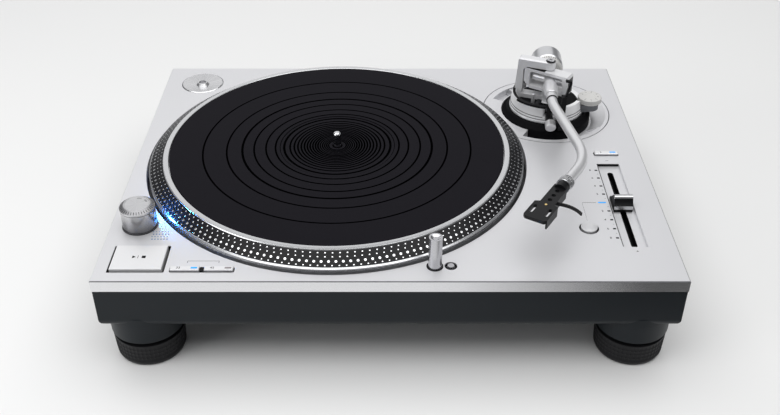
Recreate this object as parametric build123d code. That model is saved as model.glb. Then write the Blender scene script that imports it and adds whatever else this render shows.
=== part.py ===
from build123d import *
import os
from math import cos, radians, sin

# Sizes are in millimetres, X runs along the front edge, Y to the rear, Z up from the floor

# Case, as large as the platter well and the margins round it ask
well_radius = 168.8
well_left_margin = 10.9
well_right_margin = 104.5
well_front_margin = 7.9
well_rear_margin = 3.5
case_width = well_left_margin + 2 * well_radius + well_right_margin
case_depth = well_front_margin + 2 * well_radius + well_rear_margin
left_edge = -case_width / 2
right_edge = case_width / 2
front_edge = -case_depth / 2
rear_edge = case_depth / 2
deck = 90.0
panel_thickness = 10.0
panel_corner = 2.0
panel_chamfer = 0.6
panel_bottom = deck - panel_thickness
cabinet_inset = 0.5
cabinet_width = case_width - 2 * cabinet_inset
cabinet_depth = case_depth - 2 * cabinet_inset
cabinet_bottom = 43.0
cabinet_round = 8.0
cabinet_wall = 6.0
cabinet_floor_thickness = 5.0
cabinet_floor = cabinet_bottom + cabinet_floor_thickness
hollow_width = cabinet_width - 2 * cabinet_wall
hollow_depth = cabinet_depth - 2 * cabinet_wall
chassis_thickness = 8.0
chassis_bottom = panel_bottom - chassis_thickness
chassis_gap = 0.3
well_depth = 14.0
well_floor = deck - well_depth

# Fits
slide_fit = 0.3
running_fit = 0.05
seat_gap = 0.3

# Feet
foot_inset = 30.0
foot_height = 21.7
foot_radius = 28.8
foot_base_radius = 27.8
foot_edge = 3.0
foot_neck_radius = 24.0
foot_neck_top = 25.5
collar_bottom = foot_neck_top + seat_gap
collar_low_radius = 29.4
collar_radius = 29.9
stud_radius = 5.0
stud_bottom = 15.7
stud_top = 62.0
foot_boss_half = 10.0
foot_boss_top = 66.0

# Case screws
screw_radius = 2.0
screw_head_radius = 4.0
screw_head_sink = 0.6
screw_head_bottom = cabinet_bottom + screw_head_sink
screw_head_top = screw_head_bottom + 3.0
screw_top = panel_bottom - 5.0
screw_sides = 6
head_sides = 12
screw_clearance = 0.1
screw_boss_half = 5.5
side_screw_inset = 8.0
row_screw_inset = 10.0
row_screw_x = 120.0
side_screw_x = hollow_width / 2 - side_screw_inset
row_screw_y = hollow_depth / 2 - row_screw_inset

# Platter and its drive, heights counted from the deck
platter_x = left_edge + well_left_margin + well_radius
platter_y = front_edge + well_front_margin + well_radius
well_gap = 2.8
rim_width = 9.0
cone_width = 13.2
bead_width = 4.4
mat_gap = 0.5
platter_radius = well_radius - well_gap
rim_inner_radius = platter_radius - rim_width
bead_radius = platter_radius - cone_width
bead_inner_radius = bead_radius - bead_width
mat_radius = bead_inner_radius - mat_gap
rim_bottom = deck - 8.0
rim_edge = deck + 4.0
web_bottom = deck + 4.0
web_top = deck + 9.0
bead_height = deck + 12.0
hub_radius = 18.0
hub_bottom = deck + 3.0
mat_top = deck + 12.0
mat_edge = 1.0
label_radius = 51.0
label_depth = 0.6
groove_radii = (118.7, 84.2)
groove_width = 0.9
groove_depth = 0.5
rib_count = 8
web_rib_bottom = deck - 1.0
web_rib_width = 2.4
spindle_radius = 3.6
spindle_top = deck + 25.5
spindle_dome = 1.6
spindle_base_radius = 4.2
shaft_radius = 5.0
shaft_collar_radius = 14.0
housing_radius = 11.0
housing_bottom = deck - 36.0
housing_top = deck
shaft_collar_bottom = housing_top + seat_gap
housing_floor = housing_bottom + 3.0
housing_flange_radius = 22.0
housing_flange_thickness = 4.0
bush_radius = 8.0
bush_length = 9.0
bush_gap = 0.5
thrust_gap = 0.05
magnet_radius = 78.0
magnet_inner_radius = 42.0
magnet_thickness = 8.4
magnet_bottom = web_bottom - magnet_thickness
stator_radius = 88.0
stator_inner_radius = 24.0
board_thickness = 1.6
stator_board_top = well_floor + board_thickness
coil_count = 12
coil_circle = 60.0
coil_radius = 11.0
coil_sides = 6
coil_gap = 1.0
coil_top = magnet_bottom - coil_gap
chassis_rib_count = 8
chassis_rib_reach = 135.0
chassis_rib_height = 4.0
chassis_rib_bottom = chassis_bottom - chassis_rib_height
chassis_rib_width = 4.0

# Adaptor for large-hole records
adaptor_x = left_edge + 36.6
adaptor_y = rear_edge - 33.1
adaptor_radius = 20.5
adaptor_seat_depth = 3.0
adaptor_top = deck + 0.6
adaptor_dish = deck - 1.0
adaptor_cone_radius = 6.5
adaptor_cone_top_radius = 4.6
adaptor_cone_height = deck + 1.4

# Power knob and strobe tower, its window towards the platter's centre
tower_gap = 4.527
tower_radius = 13.9
tower_base_radius = 14.3
tower_base_top = deck + 1.4
tower_top = deck + 17.0
tower_stem_radius = 9.0
window_heading = 33.919
tower_distance = well_radius + tower_gap + tower_base_radius
tower_x = platter_x - tower_distance * cos(radians(window_heading))
tower_y = platter_y - tower_distance * sin(radians(window_heading))
knob_radius = 14.2
knob_bottom = tower_top + seat_gap
knob_edge = knob_bottom + 1.7
knob_top = knob_bottom + 3.9
knob_flat_radius = 10.8
knob_pin_radius = 4.0
knob_pin_bottom = tower_top - 13.0
window_half_angle = 17.0
window_bottom = deck + 3.2
window_top = deck + 13.0
window_depth = 2.4

# Buttons, all of them plungers that slide in the chassis
button_height = 2.0
button_bottom = deck - 8.0
plunger_bottom = chassis_bottom - 2.0
button_edge = 0.4
start_x = left_edge + 32.2
start_y = front_edge + 27.6
start_width = 40.0
start_depth = 29.6
start_gap = 2.0
start_plunger = 4.0
speed_y = front_edge + 14.25
speed_width = 22.0
speed_depth = 4.6
speed_33_x = left_edge + 69.9
speed_45_x = left_edge + 95.85
speed_slot_gap = 0.95
thin_plunger = 1.6
range_x = right_edge - 31.4
range_y = front_edge + 180.75
range_width = 20.5
reset_x = right_edge - 65.5
reset_y = front_edge + 68.0
reset_radius = 6.7
reset_gap = 1.3
reset_dome = 0.6
reset_plunger = 3.0
light_x = platter_x + 81.2
light_y = front_edge + 18.6
light_radius = 5.25
light_top = deck + 28.0
light_bottom = panel_bottom - 5.0
light_dish_radius = 4.0
light_dish_depth = 1.2
switch_x = light_x + 12.3
switch_y = front_edge + 19.0
switch_dish_radius = 4.9
switch_dish_depth = 1.2
switch_radius = 2.6
switch_height = 0.6

# Pitch control
pitch_x = right_edge - 32.55
trough_width = 19.3
trough_front = front_edge + 43.0
trough_rear = trough_front + 121.5
trough_depth = 2.7
slot_width = 5.0
slot_front = trough_front + 2.6
slot_rear = trough_rear - 10.4
pitch_zero_y = front_edge + 104.0
cap_width = 15.6
cap_length = 21.0
cap_bottom = deck - trough_depth + seat_gap
cap_top = deck + 3.0
cap_grip_depth = 1.4
cap_grip_width = 9.0
cap_slope = 1.6
stem_width = 3.6
stem_length = 6.0
stem_bottom = panel_bottom - 4.0
stem_y = pitch_zero_y - 4.1
fader_width = 9.4
fader_length = 126.0
fader_bottom = chassis_bottom - 1.0
fader_track_bottom = stem_bottom - 0.5
fader_bay_gap = 2.0

# Tonearm base, its pivot at a set distance from the platter well
arm_well_gap = 46.409
arm_heading = 23.004
arm_distance = well_radius + arm_well_gap
arm_x = platter_x + arm_distance * cos(radians(arm_heading))
arm_y = platter_y + arm_distance * sin(radians(arm_heading))
arm_height = deck + 33.8
base_radius = 60.0
base_hole_gap = 0.8
base_floor_top = panel_bottom + 1.5
base_opening_radius = 43.0
base_collar_radius = 30.7
base_collar_bore = 24.0
base_collar_top = deck + 6.0
front_pocket_radius = 55.4
front_pocket_angles = (-120.0, -35.0)
rear_pocket_inner = 44.0
rear_pocket_radius = 54.0
rear_pocket_angles = (118.0, 155.0)
rear_pocket_floor = deck - 6.0
scoop_radius = 57.0
scoop_angles = (-35.0, 20.0)
scoop_floor = deck - 8.0
lever_angles = (121.0, 129.0)
lever_gap = 0.4
lever_top = rear_pocket_floor + 2.8
lever_fin_top = deck - 0.4
lever_fin_width = 2.4
height_ring_radius = 42.2
height_ring_bottom = base_floor_top + seat_gap
height_ring_top_radius = 36.4
height_ring_top = deck + 5.5
riser_radius = 35.3
riser_top_radius = 33.5
height_ring_bore = riser_radius + 0.5
riser_skirt_bottom = base_floor_top + 0.5
riser_step = deck + 6.0
riser_floor = deck + 12.0
riser_floor_bottom = riser_floor - 4.0
riser_top = deck + 20.0
riser_rim_inner = 30.0
riser_bore = base_collar_radius + slide_fit
riser_cut_angles = ((-33.0, 50.0), (45.0, 124.0))
riser_wire_hole = 4.0

# Bridge that carries the gimbal
bridge_turn = -21.0
bridge_front = -4.0
bridge_rear = 5.5
bridge_left = -29.7
bridge_end_radius = 4.75
bridge_flare = 2.4
bridge_inner = -24.4
bridge_top_bottom = arm_height + 10.9
bridge_top = bridge_top_bottom + 8.0
bridge_foot_top = riser_floor + 4.0
bridge_boss_radius = 5.5
bridge_boss_top = arm_height - 11.0
bridge_round = 1.2
pivot_radius = 2.0
pivot_tip_radius = 1.0
pivot_head_radius = 3.4
pivot_head_height = 1.6

# Gimbal
gimbal_turn = -31.8
gimbal_width = 44.4
gimbal_height = 20.0
gimbal_front = -8.0
gimbal_rear = 4.5
gimbal_window_width = 33.5
gimbal_window_height = 14.5
gimbal_chamfer = 6.0
gimbal_edge = 1.5
gimbal_pin_radius = 1.5
stub_radius = 4.0
stub_reach = 16.2

# Arm tube and hub, headings in degrees to the right of straight ahead
tube_radius = 4.5
tube_headings = (-3.65, 9.8, -31.8)
tube_legs = (48.6, 93.3, 49.3)
tube_bend = 57.0
tube_start = 16.0
hub_radius_arm = 5.0
hub_front = 13.0
hub_rear = 9.0
sleeve_radius = 5.3
sleeve_tip_radius = 4.9
sleeve_end = 41.0
rear_shaft_radius = 6.0
rear_shaft_end = 45.0

# Counterweight
weight_sleeve_radius = 8.0
weight_sleeve_front = 14.6
weight_sleeve_end = 41.0
dial_front = 14.3
dial_rear = 20.8
dial_radius = 14.0
weight_front = 21.1
weight_end = 42.0
weight_radius = 15.0
weight_chamfer = 1.2
weight_recess = 1.6
weight_recess_radius = 11.5

# Headshell
collar_nut_radius = 6.3
collar_nut_length = 10.0
shell_length = 55.0
shell_neck_width = 12.0
shell_neck_length = 31.0
shell_width = 19.6
shell_top = arm_height + 2.2
shell_bottom = arm_height - 0.8
shell_front_corner = 2.0
shell_boss_radius = 5.4
shell_boss_length = 7.0
shell_hole_radius = 1.9
shell_holes = (12.0, 19.0, 26.0)
shell_slot_width = 2.8
shell_slot_length = 11.0
shell_slot_spacing = 12.7
shell_slot_start = 37.5
shell_flange_depth = 5.0
shell_flange_width = 1.2
lift_start = 24.0
lift_thickness = 1.2
lift_height = 2.6
lift_reach = 27.0
connector_radius = 3.4
connector_length = 12.0

# Arm rest, clip, cue lever and lifter, placed from the arm pivot
rest_distance_front = -47.5
rest_distance_rear = -41.5
rest_ledge_left = -8.0
rest_ledge_thickness = 4.0
rest_post_left = 5.4
rest_post_right = 9.6
rest_post_top = arm_height + 2.2
rest_foot_left = 3.9
rest_foot_right = 12.5
rest_foot_front = -49.5
rest_foot_rear = -30.0
rest_foot_bottom = deck + 6.4
rest_foot_top = deck + 11.0
clip_hub_x = 7.5
clip_hub_height = arm_height + 4.2
clip_hub_radius = 2.2
clip_pin_radius = 1.0
clip_thickness = 2.0
clip_hook_x = -8.5
clip_hook_width = 1.8
clip_hook_bottom = arm_height + 1.2
clip_open = 100.0
cue_x = -2.5
cue_pivot_y = -27.0
cue_pivot_height = riser_floor + 3.0
cue_hub_radius = 2.6
cue_hub_half = 3.6
cue_pin_radius = 1.2
cue_pin_half = 6.2
cue_lug_thickness = 2.0
cue_lug_depth = 6.0
cue_lug_top = cue_pivot_height + 3.2
cue_slope = -16.0
cue_stem_radius = 1.6
cue_stem_end_radius = 3.6
cue_stem_length = 12.0
cue_tip_radius = 5.0
cue_tip_length = 13.0
cue_notch_left = -8.6
cue_notch_right = 3.6
cue_notch_bottom = riser_floor - 3.6
lifter_inner = 36.0
lifter_outer = 39.5
lifter_angles = (-145.0, -87.0)
lifter_top = arm_height - 8.8
lifter_thickness = 2.0
lifter_post_circle = 27.6
lifter_post_angle = -115.0
lifter_post_radius = 1.8
lifter_post_bottom = riser_floor - 5.6
lifter_arm_width = 4.0

# Anti-skate
skate_x = 39.2
skate_y = -8.1
skate_knob_radius = 11.2
skate_knob_bottom = riser_top - 5.0
skate_knob_top = riser_top
skate_arm_bottom = riser_floor_bottom
skate_arm_top = skate_knob_bottom - seat_gap
skate_arm_end_radius = 9.0
skate_arm_root_radius = 12.5
skate_arm_root = 0.7
skate_pin_radius = 2.0
skate_pin_bottom = skate_arm_bottom + 2.0

# Rear recesses, heights counted from the cabinet's underside
recess_depth = 18.0
recess_wall = 3.0
recess_bottom = cabinet_bottom + 9.0
recess_top = recess_bottom + 17.0
signal_x = 60.0
signal_width = 60.0
inlet_x = -75.0
inlet_width = 34.0
hinge_x = right_edge - 85.5
hinge_width = 25.0
hinge_depth = 11.0
hinge_bottom = cabinet_bottom + 8.0
hinge_top = hinge_bottom + 18.0
hinge_fit = 0.2
hinge_slot_width = 16.0
hinge_slot_depth = 7.0
hinge_slot_height = 13.0
phono_radius = 4.15
phono_spacing = 16.0
phono_length = 9.0
phono_pin_hole = 1.6
phono_first = -18.0
ground_post_radius = 1.9
ground_post_length = 13.0
ground_x = 19.0
ground_nut_radius = 5.0
ground_nut_length = 5.0
terminal_plate = 2.0
inlet_body_width = 26.0
inlet_body_height = 13.0
inlet_body_depth = 14.0
inlet_lobe_radius = 4.2
inlet_lobe_spacing = 9.0
inlet_cavity = 8.0
inlet_pin_radius = 1.1
inlet_pin_length = 6.0

# Boards inside the case
pillar_half = 3.0
pillar_height = 5.0
pillar_inset = 5.0
can_sides = 8
supply_width = 80.0
supply_depth = 70.0
supply_x = left_edge + 116.5
supply_y = rear_edge - 84.5
control_width = 150.0
control_depth = 60.0
control_x = -15.0
control_y = front_edge + 74.5

on_floor = (Align.CENTER, Align.CENTER, Align.MIN)
platter_place = Pos(platter_x, platter_y, 0)
arm_place = Pos(arm_x, arm_y, 0)
bridge_place = arm_place * Rot(0, 0, bridge_turn)
gimbal_place = Pos(arm_x, arm_y, arm_height) * Rot(0, 0, gimbal_turn)
foot_x = case_width / 2 - foot_inset
foot_y = case_depth / 2 - foot_inset
foot_spots = [(x, y) for x in (-foot_x, foot_x) for y in (-foot_y, foot_y)]
screw_spots = [(x, y) for x in (-row_screw_x, row_screw_x) for y in (-row_screw_y, row_screw_y)]
screw_spots += [(-side_screw_x, 0), (side_screw_x, 0)]


def disc(radius, bottom, top):
    return Pos(0, 0, bottom) * Cylinder(radius, top - bottom, align=on_floor)


def ring(outer, inner, bottom, top):
    return disc(outer, bottom, top) - disc(inner, bottom, top)


def prism(radius, sides, bottom, top):
    return Pos(0, 0, bottom) * extrude(RegularPolygon(radius, sides), top - bottom)


def post(half, bottom, top):
    return block(-half, half, -half, half, bottom, top)


def block(left, right, front, rear, bottom, top):
    size = Box(right - left, rear - front, top - bottom, align=on_floor)
    return Pos((left + right) / 2, (front + rear) / 2, bottom) * size


def rounded_block(width, depth, bottom, top, corner):
    return Pos(0, 0, bottom) * extrude(RectangleRounded(width, depth, corner), top - bottom)


def turned(*points):
    profile = make_face(Plane.XZ * Polyline(*points, close=True))
    return revolve(profile, Axis.Z)


def sector(reach, start, end, bottom, top):
    far = 2 * reach
    angles = [radians(a) for a in (start, (start + end) / 2, end)]
    outline = [(0, 0)] + [(far * cos(a), far * sin(a)) for a in angles]
    return Pos(0, 0, bottom) * extrude(make_face(Polyline(*outline, close=True)), top - bottom)


def arc_block(outer, inner, angles, bottom, top):
    return ring(outer, inner, bottom, top) & sector(outer, angles[0], angles[1], bottom, top)


def spread(count, shape):
    return [Rot(0, 0, 360 * i / count) * shape for i in range(count)]


def rod(start, end, radius):
    length = (Vector(*end) - Vector(*start)).length
    axis = Plane(origin=start, z_dir=Vector(*end) - Vector(*start))
    return axis * Cylinder(radius, length, align=on_floor)


def cone_rod(start, end, start_radius, end_radius):
    length = (Vector(*end) - Vector(*start)).length
    axis = Plane(origin=start, z_dir=Vector(*end) - Vector(*start))
    return axis * Cone(start_radius, end_radius, length, align=on_floor)


# Path of the arm tube in plan, from the pivot to the headshell
def heading_vector(heading):
    return Vector(sin(radians(heading)), -cos(radians(heading)), 0)


pivot = Vector(arm_x, arm_y, arm_height)
first_bend = pivot + heading_vector(tube_headings[0]) * tube_legs[0]
second_bend = first_bend + heading_vector(tube_headings[1]) * tube_legs[1]
tube_end = second_bend + heading_vector(tube_headings[2]) * tube_legs[2]
forward = heading_vector(tube_headings[0])
shell_forward = heading_vector(tube_headings[2])
shell_place = Pos(*tube_end) * Rot(0, 0, gimbal_turn)


def along_arm(distance):
    return tuple(pivot + forward * distance)


# Case
def make_top_panel():
    panel = rounded_block(case_width, case_depth, panel_bottom, deck, panel_corner)
    panel = chamfer(panel.faces().sort_by(Axis.Z)[-1].edges(), panel_chamfer)
    cuts = [platter_place * disc(well_radius, panel_bottom, deck)]
    cuts += [arm_place * disc(base_radius + base_hole_gap, panel_bottom, deck)]
    cuts += [Pos(adaptor_x, adaptor_y) * disc(adaptor_radius + slide_fit, deck - adaptor_seat_depth, deck)]
    cuts += [Pos(tower_x, tower_y) * disc(tower_stem_radius + running_fit, panel_bottom, deck)]
    half_start = start_width / 2 + start_gap
    start_reach = start_depth / 2 + start_gap
    cuts += [block(start_x - half_start, start_x + half_start, start_y - start_reach,
                   start_y + start_reach, panel_bottom, deck)]
    speed_left = speed_33_x - speed_width / 2 - speed_slot_gap
    speed_right = speed_45_x + speed_width / 2 + speed_slot_gap
    half_slot = speed_depth / 2 + speed_slot_gap
    cuts += [block(speed_left, speed_right, speed_y - half_slot, speed_y + half_slot, panel_bottom, deck)]
    half_range = range_width / 2 + speed_slot_gap
    cuts += [block(range_x - half_range, range_x + half_range, range_y - half_slot,
                   range_y + half_slot, panel_bottom, deck)]
    cuts += [Pos(reset_x, reset_y) * disc(reset_radius + reset_gap, panel_bottom, deck)]
    cuts += [Pos(light_x, light_y) * disc(light_radius + slide_fit, panel_bottom, deck)]
    cuts += [Pos(switch_x, switch_y) * disc(switch_radius + slide_fit, panel_bottom, deck)]
    cuts += [Pos(switch_x, switch_y) * disc(switch_dish_radius, deck - switch_dish_depth, deck)]
    half_trough = trough_width / 2
    cuts += [block(pitch_x - half_trough, pitch_x + half_trough, trough_front, trough_rear,
                   deck - trough_depth, deck)]
    slot_length = slot_rear - slot_front
    slot = extrude(SlotOverall(slot_length, slot_width, rotation=90), panel_thickness)
    cuts += [Pos(pitch_x, (slot_front + slot_rear) / 2, panel_bottom) * slot]
    return panel - cuts


def make_chassis():
    width = hollow_width - 2 * chassis_gap
    depth = hollow_depth - 2 * chassis_gap
    plate = rounded_block(width, depth, chassis_bottom, panel_bottom, panel_corner)
    rib = block(housing_flange_radius + 2, chassis_rib_reach, -chassis_rib_width / 2,
                chassis_rib_width / 2, chassis_rib_bottom, chassis_bottom)
    plate += [platter_place * Rot(0, 0, 360 / chassis_rib_count / 2) * one
              for one in spread(chassis_rib_count, rib)]
    cuts = [platter_place * disc(well_radius, well_floor, panel_bottom)]
    cuts += [platter_place * disc(housing_radius + running_fit, chassis_bottom, panel_bottom)]
    for place, half in plunger_places():
        cuts += [place * post(half + slide_fit, chassis_bottom, panel_bottom)]
    cuts += [Pos(light_x, light_y) * disc(light_radius + slide_fit, chassis_bottom, panel_bottom)]
    bay_half = fader_width / 2 + fader_bay_gap
    bay_front = slot_middle() - fader_length / 2 - fader_bay_gap
    bay_rear = slot_middle() + fader_length / 2 + fader_bay_gap
    cuts += [block(pitch_x - bay_half, pitch_x + bay_half, bay_front, bay_rear,
                   chassis_bottom, panel_bottom)]
    for x, y in screw_spots:
        cuts += [Pos(x, y) * prism(screw_radius + screw_clearance, screw_sides, chassis_bottom, screw_top)]
    return plate - cuts


def slot_middle():
    return (slot_front + slot_rear) / 2


def plunger_places():
    places = [(Pos(start_x, start_y), start_plunger)]
    places += [(Pos(speed_33_x, speed_y), thin_plunger)]
    places += [(Pos(speed_45_x, speed_y), thin_plunger)]
    places += [(Pos(range_x, range_y), thin_plunger)]
    places += [(Pos(reset_x, reset_y), reset_plunger)]
    places += [(Pos(switch_x, switch_y), thin_plunger)]
    return places


def rounded_trough(width, length, bottom, top, corner):
    section = Plane.XZ * RectangleRounded(width, 2 * (top - bottom), corner)
    return Pos(0, 0, top) * extrude(section, length / 2, both=True)


def rear_box(x, width, depth, bottom, top, grow):
    return block(x - width / 2 - grow, x + width / 2 + grow, cabinet_depth / 2 - depth - grow,
                 cabinet_depth / 2, bottom - grow, top + grow)


def make_cabinet():
    half_width = cabinet_width / 2
    half_depth = cabinet_depth / 2
    across = rounded_trough(cabinet_width, cabinet_depth, cabinet_bottom, panel_bottom, cabinet_round)
    deep = rounded_trough(cabinet_depth, cabinet_width, cabinet_bottom, panel_bottom, cabinet_round)
    body = across & (Rot(0, 0, 90) * deep)
    body &= block(-half_width, half_width, -half_depth, half_depth, cabinet_bottom, panel_bottom)
    body -= block(-hollow_width / 2, hollow_width / 2, -hollow_depth / 2, hollow_depth / 2,
                  cabinet_floor, panel_bottom)
    collar_top = cabinet_bottom + cabinet_round
    collar = turned((0, collar_bottom), (collar_low_radius, collar_bottom), (collar_radius, cabinet_bottom),
                    (collar_radius, collar_top), (0, collar_top))
    collar += post(foot_boss_half, cabinet_floor, foot_boss_top)
    added = [Pos(x, y) * collar for x, y in foot_spots]
    added += [Pos(x, y) * post(screw_boss_half, cabinet_floor, chassis_bottom) for x, y in screw_spots]
    recesses = [(signal_x, signal_width, recess_depth, recess_bottom, recess_top)]
    recesses += [(inlet_x, inlet_width, recess_depth, recess_bottom, recess_top)]
    hinge_pockets = [(x, hinge_width, hinge_depth, hinge_bottom, hinge_top) for x in (-hinge_x, hinge_x)]
    added += [rear_box(*one, recess_wall) for one in recesses]
    added += [rear_box(*one, recess_wall) for one in hinge_pockets]
    body += added
    cuts = [rear_box(*one, 0) for one in recesses + hinge_pockets]
    bore = disc(stud_radius + slide_fit, collar_bottom, foot_boss_top)
    cuts += [Pos(x, y) * bore for x, y in foot_spots]
    hole = prism(screw_radius + screw_clearance, screw_sides, cabinet_bottom, chassis_bottom)
    hole += prism(screw_head_radius + slide_fit, head_sides, cabinet_bottom, screw_head_top)
    cuts += [Pos(x, y) * hole for x, y in screw_spots]
    return body - cuts


def make_case_screws():
    screw = prism(screw_head_radius, head_sides, screw_head_bottom, screw_head_top)
    screw += prism(screw_radius, screw_sides, screw_head_top, screw_top)
    return Compound(children=[Pos(x, y) * screw for x, y in screw_spots])


# Feet
def make_foot_ring():
    bore = stud_radius + slide_fit
    return turned((0, 0), (foot_base_radius - foot_edge, 0), (foot_base_radius, foot_edge),
                  (foot_radius, foot_height), (foot_neck_radius, foot_height),
                  (foot_neck_radius, foot_neck_top), (bore, foot_neck_top), (bore, stud_bottom - seat_gap),
                  (0, stud_bottom - seat_gap))


def make_foot_stud():
    return disc(stud_radius, stud_bottom, stud_top)


# Platter and motor
def make_platter():
    bore = spindle_base_radius + running_fit
    body = turned((hub_radius, web_bottom), (hub_radius, hub_bottom), (bore, hub_bottom),
                  (bore, web_top), (bead_inner_radius, web_top),
                  (bead_inner_radius, bead_height), (bead_radius, bead_height),
                  (platter_radius, rim_edge), (platter_radius, rim_bottom),
                  (rim_inner_radius, rim_bottom), (rim_inner_radius, web_bottom))
    rib = block(magnet_radius + 3, rim_inner_radius + 1, -web_rib_width / 2, web_rib_width / 2,
                web_rib_bottom, web_bottom)
    return platter_place * (body + spread(rib_count, rib))


def make_mat():
    bore = spindle_base_radius + slide_fit
    points = [(bore, web_top), (mat_radius, web_top), (mat_radius, mat_top - mat_edge),
              (mat_radius - mat_edge, mat_top)]
    for radius in groove_radii:
        points += [(radius + groove_width / 2, mat_top), (radius, mat_top - groove_depth),
                   (radius - groove_width / 2, mat_top)]
    points += [(label_radius, mat_top), (label_radius - label_depth, mat_top - label_depth),
               (bore, mat_top - label_depth)]
    return platter_place * turned(*points)


def make_spindle():
    shaft_bottom = housing_floor + thrust_gap
    return platter_place * turned((0, shaft_bottom), (shaft_radius, shaft_bottom),
                                  (shaft_radius, shaft_collar_bottom),
                                  (shaft_collar_radius, shaft_collar_bottom),
                                  (shaft_collar_radius, hub_bottom), (spindle_base_radius, hub_bottom),
                                  (spindle_base_radius, mat_top - label_depth),
                                  (spindle_radius, mat_top - label_depth),
                                  (spindle_radius, spindle_top - 2 * spindle_dome),
                                  (spindle_radius - spindle_dome, spindle_top), (0, spindle_top))


def make_bearing_housing():
    body = disc(housing_radius, housing_bottom, housing_top)
    body += disc(housing_flange_radius, chassis_bottom - housing_flange_thickness, chassis_bottom)
    return platter_place * (body - disc(bush_radius, housing_floor, housing_top))


def make_bearing_bushes():
    low = housing_floor + bush_gap
    high = housing_top - bush_gap - bush_length
    bushes = [ring(bush_radius, shaft_radius + running_fit, z, z + bush_length) for z in (low, high)]
    return Compound(children=[platter_place * one for one in bushes])


def make_magnet():
    return platter_place * ring(magnet_radius, magnet_inner_radius, magnet_bottom, web_bottom)


def make_stator():
    board = ring(stator_radius, stator_inner_radius, well_floor, stator_board_top)
    coil = Pos(coil_circle, 0) * prism(coil_radius, coil_sides, stator_board_top, coil_top)
    return platter_place * (board + spread(coil_count, coil))


def make_adaptor():
    seat = deck - adaptor_seat_depth
    bore = spindle_radius + running_fit
    body = turned((bore, seat), (adaptor_radius, seat), (adaptor_radius, deck),
                  (adaptor_radius - 0.8, adaptor_top), (adaptor_cone_radius, adaptor_dish),
                  (adaptor_cone_top_radius, adaptor_cone_height), (bore, adaptor_cone_height))
    return Pos(adaptor_x, adaptor_y) * body


# Strobe tower
def window_piece():
    angles = (window_heading - window_half_angle, window_heading + window_half_angle)
    return arc_block(tower_radius, tower_radius - window_depth, angles, window_bottom, window_top)


def make_strobe_housing():
    body = disc(tower_radius, deck, tower_top) + disc(tower_base_radius, deck, tower_base_top)
    body += disc(tower_stem_radius, panel_bottom, deck)
    body -= disc(knob_pin_radius + running_fit, knob_pin_bottom, tower_top)
    return Pos(tower_x, tower_y) * (body - window_piece())


def make_strobe_window():
    return Pos(tower_x, tower_y) * window_piece()


def make_power_knob():
    body = turned((0, knob_pin_bottom + seat_gap), (knob_pin_radius, knob_pin_bottom + seat_gap),
                  (knob_pin_radius, knob_bottom), (knob_radius, knob_bottom), (knob_radius, knob_edge),
                  (knob_flat_radius, knob_top), (0, knob_top))
    return Pos(tower_x, tower_y) * body


# Buttons
def plunger_button(x, y, width, depth, plunger):
    top = deck + button_height
    cap = block(-width / 2, width / 2, -depth / 2, depth / 2, button_bottom, top)
    cap = chamfer(cap.faces().sort_by(Axis.Z)[-1].edges(), button_edge)
    return Pos(x, y) * (cap + post(plunger, plunger_bottom, button_bottom))


def make_reset_button():
    top = deck + button_height
    body = turned((0, button_bottom), (reset_radius, button_bottom), (reset_radius, top - reset_dome),
                  (reset_radius / 2, top - reset_dome / 6), (0, top))
    return Pos(reset_x, reset_y) * (body + post(reset_plunger, plunger_bottom, button_bottom))


def make_light_button():
    body = disc(switch_radius, button_bottom, deck + switch_height)
    return Pos(switch_x, switch_y) * (body + post(thin_plunger, plunger_bottom, button_bottom))


def make_light_tube():
    body = turned((0, light_bottom), (light_radius, light_bottom), (light_radius, light_top),
                  (light_dish_radius, light_top), (light_dish_radius / 2, light_top - light_dish_depth),
                  (0, light_top - light_dish_depth))
    return Pos(light_x, light_y) * body


# Pitch control
def make_pitch_cap():
    half = cap_length / 2
    grip = cap_grip_width / 2
    dip = cap_top - cap_grip_depth
    outline = [(-half, cap_bottom), (half, cap_bottom), (half, cap_top - cap_slope),
               (half - cap_slope, cap_top), (grip, cap_top), (grip - 2, dip), (2 - grip, dip),
               (-grip, cap_top), (cap_slope - half, cap_top), (-half, cap_top - cap_slope)]
    section = make_face(Plane.YZ * Polyline(*outline, close=True))
    cap = Pos(pitch_x, pitch_zero_y) * extrude(section, cap_width / 2, both=True)
    stem = Pos(pitch_x, stem_y, stem_bottom) * Box(stem_width, stem_length, cap_bottom - stem_bottom,
                                                   align=on_floor)
    return cap + stem


def make_pitch_fader():
    middle = slot_middle()
    half = fader_width / 2
    body = block(pitch_x - half, pitch_x + half, middle - fader_length / 2, middle + fader_length / 2,
                 fader_bottom, panel_bottom)
    track = stem_width / 2 + slide_fit
    return body - block(pitch_x - track, pitch_x + track, slot_front + 1, slot_rear - 1,
                        fader_track_bottom, panel_bottom)


# Tonearm base
def make_arm_base():
    body = disc(base_radius, panel_bottom, deck) - ring(base_opening_radius, base_collar_radius,
                                                       base_floor_top, deck)
    body += disc(base_collar_radius, deck, base_collar_top)
    body -= disc(base_collar_bore, panel_bottom, base_collar_top)
    body -= arc_block(front_pocket_radius, base_opening_radius - 1, front_pocket_angles,
                      base_floor_top, deck)
    body -= arc_block(rear_pocket_radius, rear_pocket_inner, rear_pocket_angles, rear_pocket_floor, deck)
    scoop = turned((0, scoop_floor), (base_opening_radius + 1, scoop_floor), (scoop_radius, deck),
                   (scoop_radius, deck + 1), (0, deck + 1))
    scoop &= sector(scoop_radius, scoop_angles[0], scoop_angles[1], scoop_floor, deck + 1)
    body -= scoop - disc(base_opening_radius - 1, scoop_floor, deck + 1)
    return arm_place * body - platter_place * disc(well_radius, panel_bottom, deck)


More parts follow.
